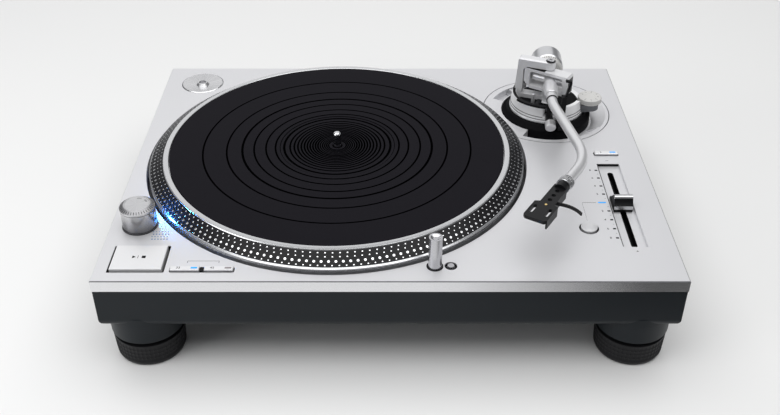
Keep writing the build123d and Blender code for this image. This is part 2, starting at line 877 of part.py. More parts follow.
def make_lock_lever():
    inner = rear_pocket_inner + lever_gap
    outer = rear_pocket_radius - lever_gap
    body = arc_block(outer, inner, lever_angles, rear_pocket_floor + seat_gap, lever_top)
    middle = (lever_angles[0] + lever_angles[1]) / 2
    fin = block(inner + 1, outer - 1, -lever_fin_width / 2, lever_fin_width / 2, lever_top, lever_fin_top)
    return arm_place * (body + Rot(0, 0, middle) * fin)


def make_height_ring():
    body = turned((height_ring_bore, height_ring_bottom), (height_ring_radius, height_ring_bottom),
                  (height_ring_radius, deck), (height_ring_top_radius, height_ring_top),
                  (height_ring_bore, height_ring_top))
    return arm_place * body


def riser_envelope():
    return turned((0, riser_skirt_bottom), (riser_radius, riser_skirt_bottom), (riser_radius, riser_step),
                  (riser_top_radius, riser_top), (0, riser_top))


def make_riser():
    body = riser_envelope() - disc(riser_bore, riser_skirt_bottom, riser_floor_bottom)
    body -= disc(riser_rim_inner, riser_floor, riser_top)
    for start, end in riser_cut_angles:
        body -= sector(riser_radius, start, end, riser_floor, riser_top)
    body -= block(cue_notch_left, cue_notch_right, -riser_radius, 0, riser_floor, riser_top)
    body -= block(cue_x - cue_hub_half, cue_x + cue_hub_half, -riser_radius, cue_pivot_y - 1.5,
                  cue_notch_bottom, riser_floor)
    body -= disc(riser_wire_hole, riser_floor_bottom, riser_floor)
    body -= lifter_post_place() * disc(lifter_post_radius + slide_fit, riser_floor_bottom, riser_floor)
    lug_start = cue_hub_half + seat_gap
    for side in (-1, 1):
        near = cue_x + side * lug_start
        far = near + side * cue_lug_thickness
        lug = block(min(near, far), max(near, far), cue_pivot_y - cue_lug_depth / 2,
                    cue_pivot_y + cue_lug_depth / 2, riser_floor, cue_lug_top)
        body += lug
    body -= rod((cue_x - cue_pin_half, cue_pivot_y, cue_pivot_height),
                (cue_x + cue_pin_half, cue_pivot_y, cue_pivot_height), cue_pin_radius + 2 * running_fit)
    leg = Rot(0, 0, bridge_turn) * block(bridge_left - 2 * bridge_flare, 0, bridge_front, bridge_rear,
                                         riser_floor, riser_top)
    return arm_place * (body - leg)


def make_bridge():
    depth = bridge_rear - bridge_front
    outline = [(bridge_left, bridge_top), (bridge_left - bridge_flare, riser_floor),
               (bridge_end_radius, riser_floor), (bridge_end_radius, bridge_foot_top),
               (bridge_inner - 1, bridge_foot_top), (bridge_inner, bridge_foot_top + 6),
               (bridge_inner, bridge_top_bottom - 3), (bridge_inner + 3, bridge_top_bottom),
               (bridge_end_radius, bridge_top_bottom), (bridge_end_radius, bridge_top)]
    face = make_face(Plane.XZ * Polyline(*outline, close=True))
    body = Pos(0, bridge_rear, 0) * extrude(face, depth)
    middle = (bridge_front + bridge_rear) / 2
    end = Pos(0, middle) * SlotOverall(2 * (bridge_end_radius - bridge_left) + 20, depth)
    end = Pos(bridge_left - 10, 0) * end
    body &= Pos(0, 0, riser_floor) * extrude(end, bridge_top - riser_floor)
    body = chamfer(body.edges().filter_by_position(Axis.Z, bridge_top - 0.01, bridge_top + 0.01),
                   bridge_round)
    body += disc(bridge_boss_radius, riser_floor, bridge_boss_top)
    body -= disc(pivot_radius + running_fit, riser_floor, bridge_boss_top)
    body -= disc(pivot_radius + running_fit, bridge_top_bottom, bridge_top)
    return bridge_place * body


def make_pivot_screws():
    half = gimbal_height / 2
    low_tip = arm_height - half + 2
    high_tip = arm_height + half - 2
    low = disc(pivot_radius, riser_floor, bridge_boss_top) + disc(pivot_tip_radius, bridge_boss_top, low_tip)
    high = disc(pivot_radius, bridge_top_bottom, bridge_top)
    high += disc(pivot_tip_radius, high_tip, bridge_top_bottom)
    high += disc(pivot_head_radius, bridge_top, bridge_top + pivot_head_height)
    return Compound(children=[arm_place * low, arm_place * high])


# Gimbal and arm
def make_gimbal_ring():
    half_width = gimbal_width / 2
    half_height = gimbal_height / 2
    outline = [(-half_width, gimbal_chamfer - half_height), (gimbal_chamfer - half_width, -half_height),
               (half_width - gimbal_edge, -half_height), (half_width, gimbal_edge - half_height),
               (half_width, half_height - gimbal_edge), (half_width - gimbal_edge, half_height),
               (gimbal_edge - half_width, half_height), (-half_width, half_height - gimbal_edge)]
    face = make_face(Plane.XZ * Polyline(*outline, close=True))
    window = Plane.XZ * RectangleRounded(gimbal_window_width, gimbal_window_height, 2)
    body = Pos(0, gimbal_rear, 0) * extrude(face - window, gimbal_rear - gimbal_front)
    tip = pivot_tip_radius + running_fit
    body -= disc(tip, -half_height, 2.3 - half_height) + disc(tip, half_height - 2.3, half_height)
    for side in (-1, 1):
        hole = rod((side * (gimbal_window_width / 2 - 1), 0, 0), (side * (half_width + 1), 0, 0),
                   gimbal_pin_radius)
        body -= hole
    return gimbal_place * body


def make_gimbal_pins():
    inner = stub_reach + running_fit
    pins = [rod((side * inner, 0, 0), (side * gimbal_width / 2, 0, 0), gimbal_pin_radius)
            for side in (-1, 1)]
    return Compound(children=[gimbal_place * one for one in pins])


def make_arm_hub():
    body = rod(along_arm(-hub_rear), along_arm(hub_front), hub_radius_arm)
    body += cone_rod(along_arm(hub_front), along_arm(sleeve_end), sleeve_radius, sleeve_tip_radius)
    body += rod(along_arm(-rear_shaft_end), along_arm(-hub_rear), rear_shaft_radius)
    body += gimbal_place * rod((-stub_reach, 0, 0), (stub_reach, 0, 0), stub_radius)
    return body - rod(along_arm(tube_start), along_arm(sleeve_end), tube_radius)


def make_arm_tube():
    start = pivot + forward * tube_start
    path = FilletPolyline(tuple(start), tuple(first_bend), tuple(second_bend), tuple(tube_end),
                          radius=tube_bend)
    section = Plane(origin=tuple(start), z_dir=tuple(forward)) * Circle(tube_radius)
    socket = rod((0, connector_length + seat_gap, 0), (0, 0, 0), connector_radius + slide_fit)
    return sweep(section, path=path) - shell_place * socket


def make_weight_sleeve():
    body = rod(along_arm(-weight_sleeve_end), along_arm(-weight_sleeve_front), weight_sleeve_radius)
    return body - rod(along_arm(-rear_shaft_end), along_arm(0), rear_shaft_radius + slide_fit)


def turned_on_arm(*points):
    rear_axis = Plane(origin=tuple(pivot), z_dir=tuple(forward * -1))
    return rear_axis * turned(*points)


def make_counterweight():
    bore = weight_sleeve_radius + slide_fit
    return turned_on_arm((bore, weight_front), (weight_radius - weight_chamfer, weight_front),
                         (weight_radius, weight_front + weight_chamfer),
                         (weight_radius, weight_end - weight_chamfer),
                         (weight_radius - weight_chamfer, weight_end),
                         (weight_recess_radius + weight_recess, weight_end),
                         (weight_recess_radius, weight_end - weight_recess),
                         (bore, weight_end - weight_recess))


def make_force_dial():
    bore = weight_sleeve_radius + slide_fit
    return turned_on_arm((bore, dial_front), (dial_radius - 2, dial_front), (dial_radius, dial_front + 1.2),
                         (dial_radius, dial_rear), (bore, dial_rear))


def make_collar_nut():
    body = turned((tube_radius + slide_fit, seat_gap), (collar_nut_radius - 0.5, seat_gap),
                  (collar_nut_radius, seat_gap + 0.5), (collar_nut_radius, collar_nut_length - 1),
                  (collar_nut_radius - 1, collar_nut_length), (tube_radius + slide_fit, collar_nut_length))
    return Plane(origin=tuple(tube_end), z_dir=tuple(shell_forward * -1)) * body


def make_headshell():
    top = shell_top - arm_height
    bottom = shell_bottom - arm_height
    half_neck = shell_neck_width / 2
    half = shell_width / 2
    shoulder = shell_neck_length + 2
    outline = [(-half_neck, -3), (half_neck, -3), (half_neck, -shell_neck_length), (half, -shoulder),
               (half, shell_front_corner - shell_length), (half - shell_front_corner, -shell_length),
               (shell_front_corner - half, -shell_length), (-half, shell_front_corner - shell_length),
               (-half, -shoulder), (-half_neck, -shell_neck_length)]
    plate = Pos(0, 0, bottom) * extrude(make_face(Polyline(*outline, close=True)), top - bottom)
    plate += rod((0, 0, 0), (0, -shell_boss_length, 0), shell_boss_radius)
    plate += block(half - shell_flange_width, half, shell_front_corner - shell_length, -shoulder,
                   bottom - shell_flange_depth, bottom)
    plate += block(half_neck - shell_flange_width, half_neck, -shell_neck_length, -shell_boss_length,
                   bottom - shell_flange_depth, bottom)
    lift = finger_lift(half_neck, bottom)
    plate += lift
    for distance in shell_holes:
        plate -= Pos(0, -distance, 0) * disc(shell_hole_radius, bottom, top)
    slot = extrude(SlotOverall(shell_slot_length, shell_slot_width, rotation=90), top - bottom)
    slot_y = -shell_slot_start - shell_slot_length / 2
    for side in (-1, 1):
        plate -= Pos(side * shell_slot_spacing / 2, slot_y, bottom) * slot
    plate -= rod((0, 0, 0), (0, -shell_boss_length / 2, 0), connector_radius)
    return shell_place * plate


def finger_lift(root, bottom):
    inner = Spline((root - 1, -lift_start), (root + 7, -lift_start + 1.5), (root + 14, -lift_start + 0.6),
                   (lift_reach, -lift_start - 3), tangents=((1, 0.3), (0.8, -0.6)))
    strip = trace(inner, lift_thickness)
    return Pos(0, 0, bottom - lift_height + 1) * extrude(strip, lift_height)


def make_shell_connector():
    body = rod((0, connector_length, 0), (0, -shell_boss_length / 2, 0), connector_radius)
    return shell_place * body


# Arm rest, clip, cue lever and lifter
def make_arm_rest():
    ledge_top = arm_height - tube_radius - seat_gap
    foot = block(rest_foot_left, rest_foot_right, rest_foot_front, rest_foot_rear,
                 rest_foot_bottom, rest_foot_top)
    post = block(rest_post_left, rest_post_right, rest_distance_front, rest_distance_rear,
                 rest_foot_top, rest_post_top)
    ledge = block(rest_ledge_left, rest_post_left, rest_distance_front, rest_distance_rear,
                  ledge_top - rest_ledge_thickness, ledge_top)
    pin = rod((clip_hub_x, rest_distance_rear, clip_hub_height),
              (clip_hub_x, rest_distance_front, clip_hub_height), clip_pin_radius)
    cheek = rest_distance_rear - rest_distance_front
    cheeks = [block(rest_post_left, rest_post_right, rest_distance_front, rest_distance_front + cheek / 5,
                    rest_post_top, clip_hub_height + 1.6)]
    cheeks += [block(rest_post_left, rest_post_right, rest_distance_rear - cheek / 5, rest_distance_rear,
                     rest_post_top, clip_hub_height + 1.6)]
    body = foot + post + ledge + cheeks + pin
    return arm_place * (body - riser_envelope())


def make_arm_clip():
    cheek = (rest_distance_rear - rest_distance_front) / 5
    front = rest_distance_front + cheek + seat_gap
    rear = rest_distance_rear - cheek - seat_gap
    under = arm_height + tube_radius + seat_gap - clip_hub_height
    hook_left = clip_hook_x - clip_hook_width - clip_hub_x
    hook_right = clip_hook_x - clip_hub_x
    body = rod((0, rear, 0), (0, front, 0), clip_hub_radius - seat_gap)
    body += block(hook_left, 0, front, rear, under, under + clip_thickness)
    body += block(hook_left, hook_right, front, rear, clip_hook_bottom - clip_hub_height, under)
    body -= rod((0, rear, 0), (0, front, 0), clip_pin_radius + running_fit)
    return arm_place * Pos(clip_hub_x, 0, clip_hub_height) * Rot(0, clip_open, 0) * body


def make_cue_lever():
    hub = rod((-cue_hub_half, 0, 0), (cue_hub_half, 0, 0), cue_hub_radius)
    hub += rod((-cue_pin_half, 0, 0), (cue_pin_half, 0, 0), cue_pin_radius)
    stem = cone_rod((0, 0, 0), (0, -cue_stem_length, 0), cue_stem_radius, cue_stem_end_radius)
    tip = rod((0, -cue_stem_length, 0), (0, -cue_stem_length - cue_tip_length, 0), cue_tip_radius)
    lever = Rot(-cue_slope, 0, 0) * (stem + tip)
    return arm_place * Pos(cue_x, cue_pivot_y, cue_pivot_height) * (hub + lever)


def lifter_post_place():
    angle = radians(lifter_post_angle)
    return Pos(lifter_post_circle * cos(angle), lifter_post_circle * sin(angle))


def make_lifter():
    body = arc_block(lifter_outer, lifter_inner, lifter_angles, lifter_top - lifter_thickness, lifter_top)
    arm = block(lifter_post_circle - lifter_post_radius, lifter_inner + 1, -lifter_arm_width / 2,
                lifter_arm_width / 2, lifter_top - lifter_thickness, lifter_top)
    body += Rot(0, 0, lifter_post_angle) * arm
    body += lifter_post_place() * disc(lifter_post_radius, lifter_post_bottom, lifter_top)
    return arm_place * body


# Anti-skate
def make_skate_arm():
    root = Pos(skate_x * skate_arm_root, skate_y * skate_arm_root) * Circle(skate_arm_root_radius)
    end = Pos(skate_x, skate_y) * Circle(skate_arm_end_radius)
    outline = make_hull(root.edges() + end.edges())
    body = Pos(0, 0, skate_arm_bottom) * extrude(outline, skate_arm_top - skate_arm_bottom)
    body -= riser_envelope()
    body -= Pos(skate_x, skate_y) * disc(skate_pin_radius + running_fit, skate_pin_bottom, skate_arm_top)
    return arm_place * body


def make_skate_knob():
    body = turned((0, skate_pin_bottom + seat_gap), (skate_pin_radius, skate_pin_bottom + seat_gap),
                  (skate_pin_radius, skate_knob_bottom), (skate_knob_radius, skate_knob_bottom),
                  (skate_knob_radius, skate_knob_top - 0.8), (skate_knob_radius - 0.8, skate_knob_top),
                  (0, skate_knob_top))
    return arm_place * Pos(skate_x, skate_y) * body


# Sockets at the rear
def recess_floor_y():
    return cabinet_depth / 2 - recess_depth


def recess_middle():
    return (recess_bottom + recess_top) / 2


def outward_rod(x, start, end, radius, height):
    return rod((x, start, height), (x, end, height), radius)


def make_signal_terminals():
    floor = recess_floor_y()
    middle = recess_middle()
    face = floor + terminal_plate
    body = block(signal_x - signal_width / 2 + 2, signal_x + signal_width / 2 - 2, floor, face,
                 recess_bottom + 1, recess_top - 1)
    for i in range(2):
        x = signal_x + phono_first + i * phono_spacing
        body += outward_rod(x, face, face + phono_length, phono_radius, middle)
        body -= outward_rod(x, face, face + phono_length, phono_pin_hole, middle)
    body += outward_rod(signal_x + ground_x, face, face + ground_post_length, ground_post_radius, middle)
    return body


def make_ground_nut():
    start = recess_floor_y() + terminal_plate + seat_gap
    body = outward_rod(signal_x + ground_x, start, start + ground_nut_length, ground_nut_radius,
                       recess_middle())
    return body - outward_rod(signal_x + ground_x, start, start + ground_nut_length,
                              ground_post_radius + running_fit, recess_middle())


def make_power_inlet():
    floor = recess_floor_y()
    middle = recess_middle()
    rear = floor + inlet_body_depth
    body = block(inlet_x - inlet_body_width / 2, inlet_x + inlet_body_width / 2, floor, rear,
                 middle - inlet_body_height / 2, middle + inlet_body_height / 2)
    reach = inlet_lobe_spacing / 2
    for side in (-1, 1):
        body -= outward_rod(inlet_x + side * reach, rear - inlet_cavity, rear, inlet_lobe_radius, middle)
    body -= block(inlet_x - reach, inlet_x + reach, rear - inlet_cavity, rear,
                  middle - inlet_lobe_radius + 0.6, middle + inlet_lobe_radius - 0.6)
    start = rear - inlet_cavity
    end = start + inlet_pin_length
    for side in (-1, 1):
        body += outward_rod(inlet_x + side * reach, start, end, inlet_pin_radius, middle)
    return body


def make_hinge_sockets():
    sockets = []
    rear = cabinet_depth / 2
    middle = (hinge_bottom + hinge_top) / 2
    for x in (-hinge_x, hinge_x):
        half = hinge_width / 2 - hinge_fit
        body = block(x - half, x + half, rear - hinge_depth, rear, hinge_bottom, hinge_top - hinge_fit)
        slot = block(x - hinge_slot_width / 2, x + hinge_slot_width / 2, rear - hinge_slot_depth, rear,
                     middle - hinge_slot_height / 2, middle + hinge_slot_height / 2)
        sockets.append(body - slot)
    return Compound(children=sockets)


# Boards inside
def board(width, depth):
    low = cabinet_floor + pillar_height
    body = block(-width / 2, width / 2, -depth / 2, depth / 2, low, low + board_thickness)
    for x in (pillar_inset - width / 2, width / 2 - pillar_inset):
        for y in (pillar_inset - depth / 2, depth / 2 - pillar_inset):
            body += Pos(x, y) * post(pillar_half, cabinet_floor, low)
    return body


def on_board(x, y, width, depth, height):
    low = cabinet_floor + pillar_height + board_thickness
    return block(x - width / 2, x + width / 2, y - depth / 2, y + depth / 2, low, low + height)


def can_on_board(x, y, radius, height):
    low = cabinet_floor + pillar_height + board_thickness
    return Pos(x, y) * prism(radius, can_sides, low, low + height)


def make_power_supply():
    body = board(supply_width, supply_depth)
    body += on_board(-13, -4, 38, 40, 11)
    body += can_on_board(22, -12, 6, 10) + can_on_board(22, 4, 6, 10)
    body += on_board(22, 22, 20, 12, 5)
    return Pos(supply_x, supply_y) * body


def make_control_board():
    body = board(control_width, control_depth)
    body += on_board(-15, 2, 20, 20, 2) + on_board(22, 1, 14, 10, 2) + on_board(55, -2, 20, 20, 8)
    for x in (-61, -51, -41):
        body += can_on_board(x, 10, 3.5, 8)
    return Pos(control_x, control_y) * body


os.makedirs("parts", exist_ok=True)
pieces = {
    "top_plate": make_top_panel(),
    "chassis": make_chassis(),
    "cabinet": make_cabinet(),
    "case_screws": make_case_screws(),
    "arm_base_plate": make_arm_base(),
    "lock_lever": make_lock_lever(),
    "height_ring": make_height_ring(),
    "riser": make_riser(),
    "bridge": make_bridge(),
    "pivot_screws": make_pivot_screws(),
    "gimbal_ring": make_gimbal_ring(),
    "gimbal_pins": make_gimbal_pins(),
    "arm_hub": make_arm_hub(),
    "arm_tube": make_arm_tube(),
    "weight_sleeve": make_weight_sleeve(),
    "counterweight": make_counterweight(),
    "force_dial": make_force_dial(),
    "collar_nut": make_collar_nut(),
    "headshell": make_headshell(),
    "shell_connector": make_shell_connector(),
    "arm_rest": make_arm_rest(),
    "arm_clip": make_arm_clip(),
    "cue_lever": make_cue_lever(),
    "lifter": make_lifter(),
    "skate_arm": make_skate_arm(),
    "skate_knob": make_skate_knob(),
    "platter": make_platter(),
    "platter_mat": make_mat(),
    "spindle": make_spindle(),
    "rotor_magnet": make_magnet(),
    "bearing_housing": make_bearing_housing(),
    "bearing_bushes": make_bearing_bushes(),
    "motor_stator": make_stator(),
    "adaptor_45": make_adaptor(),
    "strobe_housing": make_strobe_housing(),
    "strobe_window": make_strobe_window(),
    "power_knob": make_power_knob(),
    "start_button": plunger_button(start_x, start_y, start_width, start_depth, start_plunger),
    "speed_button_33": plunger_button(speed_33_x, speed_y, speed_width, speed_depth, thin_plunger),
    "speed_button_45": plunger_button(speed_45_x, speed_y, speed_width, speed_depth, thin_plunger),
    "range_button": plunger_button(range_x, range_y, range_width, speed_depth, thin_plunger),
    "reset_button": make_reset_button(),
    "light_button": make_light_button(),
    "light_tube": make_light_tube(),
    "pitch_cap": make_pitch_cap(),
    "pitch_fader": make_pitch_fader(),
    "signal_terminals": make_signal_terminals(),
    "ground_nut": make_ground_nut(),
    "power_inlet": make_power_inlet(),
    "hinge_sockets": make_hinge_sockets(),
    "power_supply": make_power_supply(),
    "control_board": make_control_board(),
}
foot_names = ("front_left", "rear_left", "front_right", "rear_right")
for name, (x, y) in zip(foot_names, foot_spots):
    pieces["foot_ring_" + name] = Pos(x, y) * make_foot_ring()
    pieces["foot_stud_" + name] = Pos(x, y) * make_foot_stud()
for name, shape in pieces.items():
    export_step(shape, "parts/" + name + ".step")
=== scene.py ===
import bpy
from math import atan2, cos, pi, radians, sin
from mathutils import Matrix, Vector


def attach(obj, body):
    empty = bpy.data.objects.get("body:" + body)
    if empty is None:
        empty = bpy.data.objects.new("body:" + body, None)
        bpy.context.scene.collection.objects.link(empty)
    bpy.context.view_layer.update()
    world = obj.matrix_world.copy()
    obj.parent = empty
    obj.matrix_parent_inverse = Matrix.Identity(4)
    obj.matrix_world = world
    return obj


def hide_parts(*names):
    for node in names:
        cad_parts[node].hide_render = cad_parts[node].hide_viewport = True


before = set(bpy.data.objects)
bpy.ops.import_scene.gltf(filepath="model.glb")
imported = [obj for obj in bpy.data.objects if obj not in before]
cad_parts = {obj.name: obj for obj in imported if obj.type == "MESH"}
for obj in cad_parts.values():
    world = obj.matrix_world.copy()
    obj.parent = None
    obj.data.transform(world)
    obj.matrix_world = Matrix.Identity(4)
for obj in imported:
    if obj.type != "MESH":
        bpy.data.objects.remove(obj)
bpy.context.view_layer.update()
mm = 0.001
deckTop = 90.0
buttonTop = 92.0
inkThick = 0.04
places = {                                        # x and y of what stands on the deck, in mm
    "platter": (-46.8, 2.2), "arm": (151.3, 86.3), "tower": (-202.5, -102.5), "adaptor": (-189.9, 141.4),
    "light": (34.4, -155.9), "switch": (46.7, -155.5), "skate": (190.48, 78.2),
}
print("frame loaded,", len(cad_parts), "nodes")


# shader helpers: a wrapped socket, on which sums add Math nodes
def feed(tree, slot, value):
    if isinstance(value, Wire):
        tree.links.new(value.socket, slot)
    elif isinstance(value, bpy.types.NodeSocket):
        tree.links.new(value, slot)
    else:
        slot.default_value = value


class Wire:
    def __init__(self, tree, socket):
        self.tree = tree
        self.socket = socket

    def calc(self, operation, *values):
        node = self.tree.nodes.new("ShaderNodeMath")
        node.operation = operation
        for slot, value in zip(node.inputs, values):
            feed(self.tree, slot, value)
        return Wire(self.tree, node.outputs[0])

    def __add__(self, other):
        return self.calc("ADD", self, other)

    def __radd__(self, other):
        return self.calc("ADD", other, self)

    def __sub__(self, other):
        return self.calc("SUBTRACT", self, other)

    def __rsub__(self, other):
        return self.calc("SUBTRACT", other, self)

    def __mul__(self, other):
        return self.calc("MULTIPLY", self, other)

    def __rmul__(self, other):
        return self.calc("MULTIPLY", other, self)

    def __truediv__(self, other):
        return self.calc("DIVIDE", self, other)

    def __pow__(self, other):
        return self.calc("POWER", self, other)

    def limited(self):
        return self.calc("MINIMUM", self.calc("MAXIMUM", self, 0.0), 1.0)


class Finish:
    def __init__(self, name, colour, roughness, metallic=0.0, sockets=None):
        self.material = bpy.data.materials.new(name)
        self.material.use_nodes = True
        self.tree = self.material.node_tree
        self.shader = self.tree.nodes["Principled BSDF"]
        self.place = self.add("ShaderNodeTexCoord").outputs["Object"]
        self.set("Base Color", (*colour, 1))
        self.set("Roughness", roughness)
        self.set("Metallic", metallic)
        for key, value in (sockets or {}).items():
            self.set(key, value)

    def set(self, key, value):
        feed(self.tree, self.shader.inputs[key], value)

    def add(self, kind, settings=None, inputs=None):
        node = self.tree.nodes.new(kind)
        for key, value in (settings or {}).items():
            setattr(node, key, value)
        for key, value in (inputs or {}).items():
            feed(self.tree, node.inputs[key], value)
        return node

    def noise(self, scale, detail=2.0, place=None):
        noise = self.add("ShaderNodeTexNoise", None,
                         {"Vector": place or self.place, "Scale": scale, "Detail": detail})
        return Wire(self.tree, noise.outputs[0])

    def mixed(self, factor, low, high):
        mix = self.add("ShaderNodeMix", {"data_type": "RGBA"}, {0: factor, 6: (*low, 1), 7: (*high, 1)})
        return mix.outputs[2]

    def centred(self, x, y, flat=1.0):            # Object coordinates measured from a standing axis
        shifted = self.add("ShaderNodeMapping", None, {"Vector": self.place, "Location": (-x * mm, -y * mm, 0),
                                                       "Scale": (1, 1, flat)})
        return shifted.outputs[0]

    def streaks(self, x, y, scale):               # grain that runs outwards from the axis
        unit = self.add("ShaderNodeVectorMath", {"operation": "NORMALIZE"}, {0: self.centred(x, y, 0.001)})
        return self.noise(scale, 3.0, unit.outputs[0])

    def rings(self, x, y, scale):                 # grain that runs round the axis
        parts = self.add("ShaderNodeSeparateXYZ", None, {0: self.centred(x, y)})
        across, along = Wire(self.tree, parts.outputs[0]), Wire(self.tree, parts.outputs[1])
        radius = (across * across + along * along) ** 0.5
        line = self.add("ShaderNodeCombineXYZ", None, {0: radius})
        return self.noise(scale, 2.0, line.outputs[0])

    def relief(self, height, strength, depth=0.0001):
        bump = self.add("ShaderNodeBump", None, {"Height": height, "Strength": strength, "Distance": depth})
        self.set("Normal", bump.outputs[0])


def grainy(name, low, high, roughness, metallic, scale, relief, spread=0.08, sockets=None):
    finish = Finish(name, high, roughness, metallic, sockets)
    grain = finish.noise(scale, 3.0)
    cloud = finish.noise(9, 2.0)
    finish.set("Base Color", finish.mixed(grain * 0.6 + cloud * 0.4, low, high))
    finish.set("Roughness", roughness + (grain - 0.5) * spread + (cloud - 0.5) * spread * 0.5)
    finish.relief(grain, relief)
    return finish.material


def turnedMetal(name, low, high, roughness, x, y, spokes, scale, relief=0.12):
    finish = Finish(name, high, roughness, 1.0)
    grain = finish.streaks(x, y, scale) if spokes else finish.rings(x, y, scale)
    fine = finish.noise(2600, 2.0)
    finish.set("Base Color", finish.mixed(grain, low, high))
    finish.set("Roughness", roughness + (grain - 0.5) * 0.12 + (fine - 0.5) * 0.04)
    finish.relief(grain, relief)
    return finish.material


def lit(name, colour, strength):
    finish = Finish(name, colour, 0.3)
    cloud = finish.noise(900, 1.0)
    finish.set("Roughness", 0.3 + cloud * 0.1)
    finish.set("Emission Color", finish.mixed(cloud * 0.15, colour, tuple(0.8 * c + 0.2 for c in colour)))
    finish.set("Emission Strength", strength)
    return finish.material


# a finish that changes from low to high between two places along an axis
def banded(name, axis, start, end, low, high, roughness, metallic):
    finish = Finish(name, high, roughness)
    parts = finish.add("ShaderNodeSeparateXYZ", None, {0: finish.place})
    along = Wire(finish.tree, parts.outputs["XYZ".index(axis)])
    share = ((along - start * mm) / ((end - start) * mm)).limited()
    grain = finish.noise(2300, 3.0)
    finish.set("Base Color", finish.mixed(share * 0.92 + grain * 0.08, low, high))
    finish.set("Roughness", roughness + (grain - 0.5) * 0.08)
    finish.set("Metallic", metallic[0] + share * (metallic[1] - metallic[0]))
    finish.relief(grain, 0.06)
    return finish.material


# mesh helpers
def clearAll():
    if bpy.context.object and bpy.context.object.mode != "OBJECT":
        bpy.ops.object.mode_set(mode="OBJECT")
    bpy.ops.object.select_all(action="DESELECT")


def pick(*objects):
    clearAll()
    for obj in objects:
        obj.select_set(True)
    bpy.context.view_layer.objects.active = objects[-1]


def newest(name):
    obj = bpy.context.object
    obj.name = name
    obj.data.name = name
    return obj


def settle(obj):                                  # its place goes into its mesh
    pick(obj)
    bpy.ops.object.transform_apply(location=True, rotation=True, scale=True)
    return obj


def smoothed(obj, angle=32):
    pick(obj)
    bpy.ops.object.shade_smooth_by_angle(angle=radians(angle))
    evened = obj.modifiers.new("evened", "WEIGHTED_NORMAL")  # flat faces stay flat beside soft edges
    evened.keep_sharp = True
    bpy.ops.object.modifier_apply(modifier="evened")
    return obj


def chosen(obj, kind, test):                      # goes into edit mode with what passes the test selected
    pick(obj)
    bpy.ops.object.mode_set(mode="EDIT")
    bpy.ops.mesh.select_mode(type=kind)
    bpy.ops.mesh.select_all(action="DESELECT")
    bpy.ops.object.mode_set(mode="OBJECT")
    mesh = obj.data
    if kind == "FACE":
        for face in mesh.polygons:
            face.select = test(face)
    elif kind == "EDGE":
        for edge in mesh.edges:
            a, b = (mesh.vertices[i].co for i in edge.vertices)
            edge.select = test(a, b)
    bpy.ops.object.mode_set(mode="EDIT")


def done():
    bpy.ops.object.mode_set(mode="OBJECT")


def block(name, left, right, front, rear, bottom, top):  # sharp box between six sides, in mm
    clearAll()
    middle = ((left + right) / 2 * mm, (front + rear) / 2 * mm, (bottom + top) / 2 * mm)
    bpy.ops.mesh.primitive_cube_add(size=1, location=middle,
                                    scale=((right - left) * mm, (rear - front) * mm, (top - bottom) * mm))
    return settle(newest(name))


def pillar(name, x, y, radius, bottom, top, sides):  # sharp cylinder
    clearAll()
    bpy.ops.mesh.primitive_cylinder_add(vertices=sides, radius=radius * mm, depth=(top - bottom) * mm,
                                        location=(x * mm, y * mm, (bottom + top) / 2 * mm))
    return settle(newest(name))


def slab(name, left, right, front, rear, bottom, top, edge=0.2, segments=2):
    obj = block(name, left, right, front, rear, bottom, top)
    bpy.ops.object.mode_set(mode="EDIT")
    bpy.ops.mesh.select_all(action="SELECT")
    bpy.ops.mesh.bevel(offset=edge * mm, segments=segments, affect="EDGES")
    done()
    return smoothed(obj)


def drum(name, x, y, radius, bottom, top, edge, sides):
    obj = pillar(name, x, y, radius, bottom, top, sides)
    chosen(obj, "FACE", lambda face: abs(face.normal.z) > 0.9)
    bpy.ops.mesh.bevel(offset=edge * mm, segments=1, affect="EDGES")
    done()
    return smoothed(obj)


def drawn(name, points):                          # a line through points in mm, left selected in edit mode
    clearAll()
    bpy.ops.mesh.primitive_plane_add(size=mm)
    obj = newest(name)
    bpy.ops.object.mode_set(mode="EDIT")
    bpy.ops.mesh.select_mode(type="VERT")
    bpy.ops.mesh.select_all(action="SELECT")
    bpy.ops.mesh.merge(type="CENTER")
    bpy.ops.transform.translate(value=[value * mm for value in points[0]])
    for start, end in zip(points, points[1:]):
        step = [(b - a) * mm for a, b in zip(start, end)]
        bpy.ops.mesh.extrude_region_move(TRANSFORM_OT_translate={"value": step})
    bpy.ops.mesh.select_all(action="SELECT")
    return obj


# a profile of (radius, height) in mm, spun about a standing axis
def turned(name, profile, x=0.0, y=0.0, steps=96):
    obj = drawn(name, [(radius, 0, height) for radius, height in profile])
    bpy.ops.mesh.spin(steps=steps, angle=2 * pi, center=(0, 0, 0), axis=(0, 0, 1))
    bpy.ops.mesh.select_all(action="SELECT")
    bpy.ops.mesh.remove_doubles(threshold=0.000002)
    bpy.ops.mesh.normals_make_consistent(inside=False)
    done()
    obj.location = (x * mm, y * mm, 0)
    return smoothed(settle(obj))


def hoop(name, inner, outer, bottom, top, x, y, steps):  # flat ring
    profile = [(inner, bottom), (outer, bottom), (outer, top), (inner, top), (inner, bottom)]
    return turned(name, profile, x, y, steps)


# an outline of (y, z) in mm, closed and drawn out from left to right
def walled(name, side, left, right):
    obj = drawn(name, [(left, y, z) for y, z in side])
    bpy.ops.mesh.edge_face_add()
    bpy.ops.mesh.extrude_region_move(TRANSFORM_OT_translate={"value": ((right - left) * mm, 0, 0)})
    bpy.ops.mesh.select_all(action="SELECT")
    bpy.ops.mesh.normals_make_consistent(inside=False)
    done()
    return obj


def carve(obj, *cutters):
    for cutter in cutters:
        pick(obj)
        cut = obj.modifiers.new("cut", "BOOLEAN")
        cut.object = cutter
        cut.solver = "EXACT"
        bpy.ops.object.modifier_apply(modifier="cut")
        bpy.data.objects.remove(cutter)
    return obj


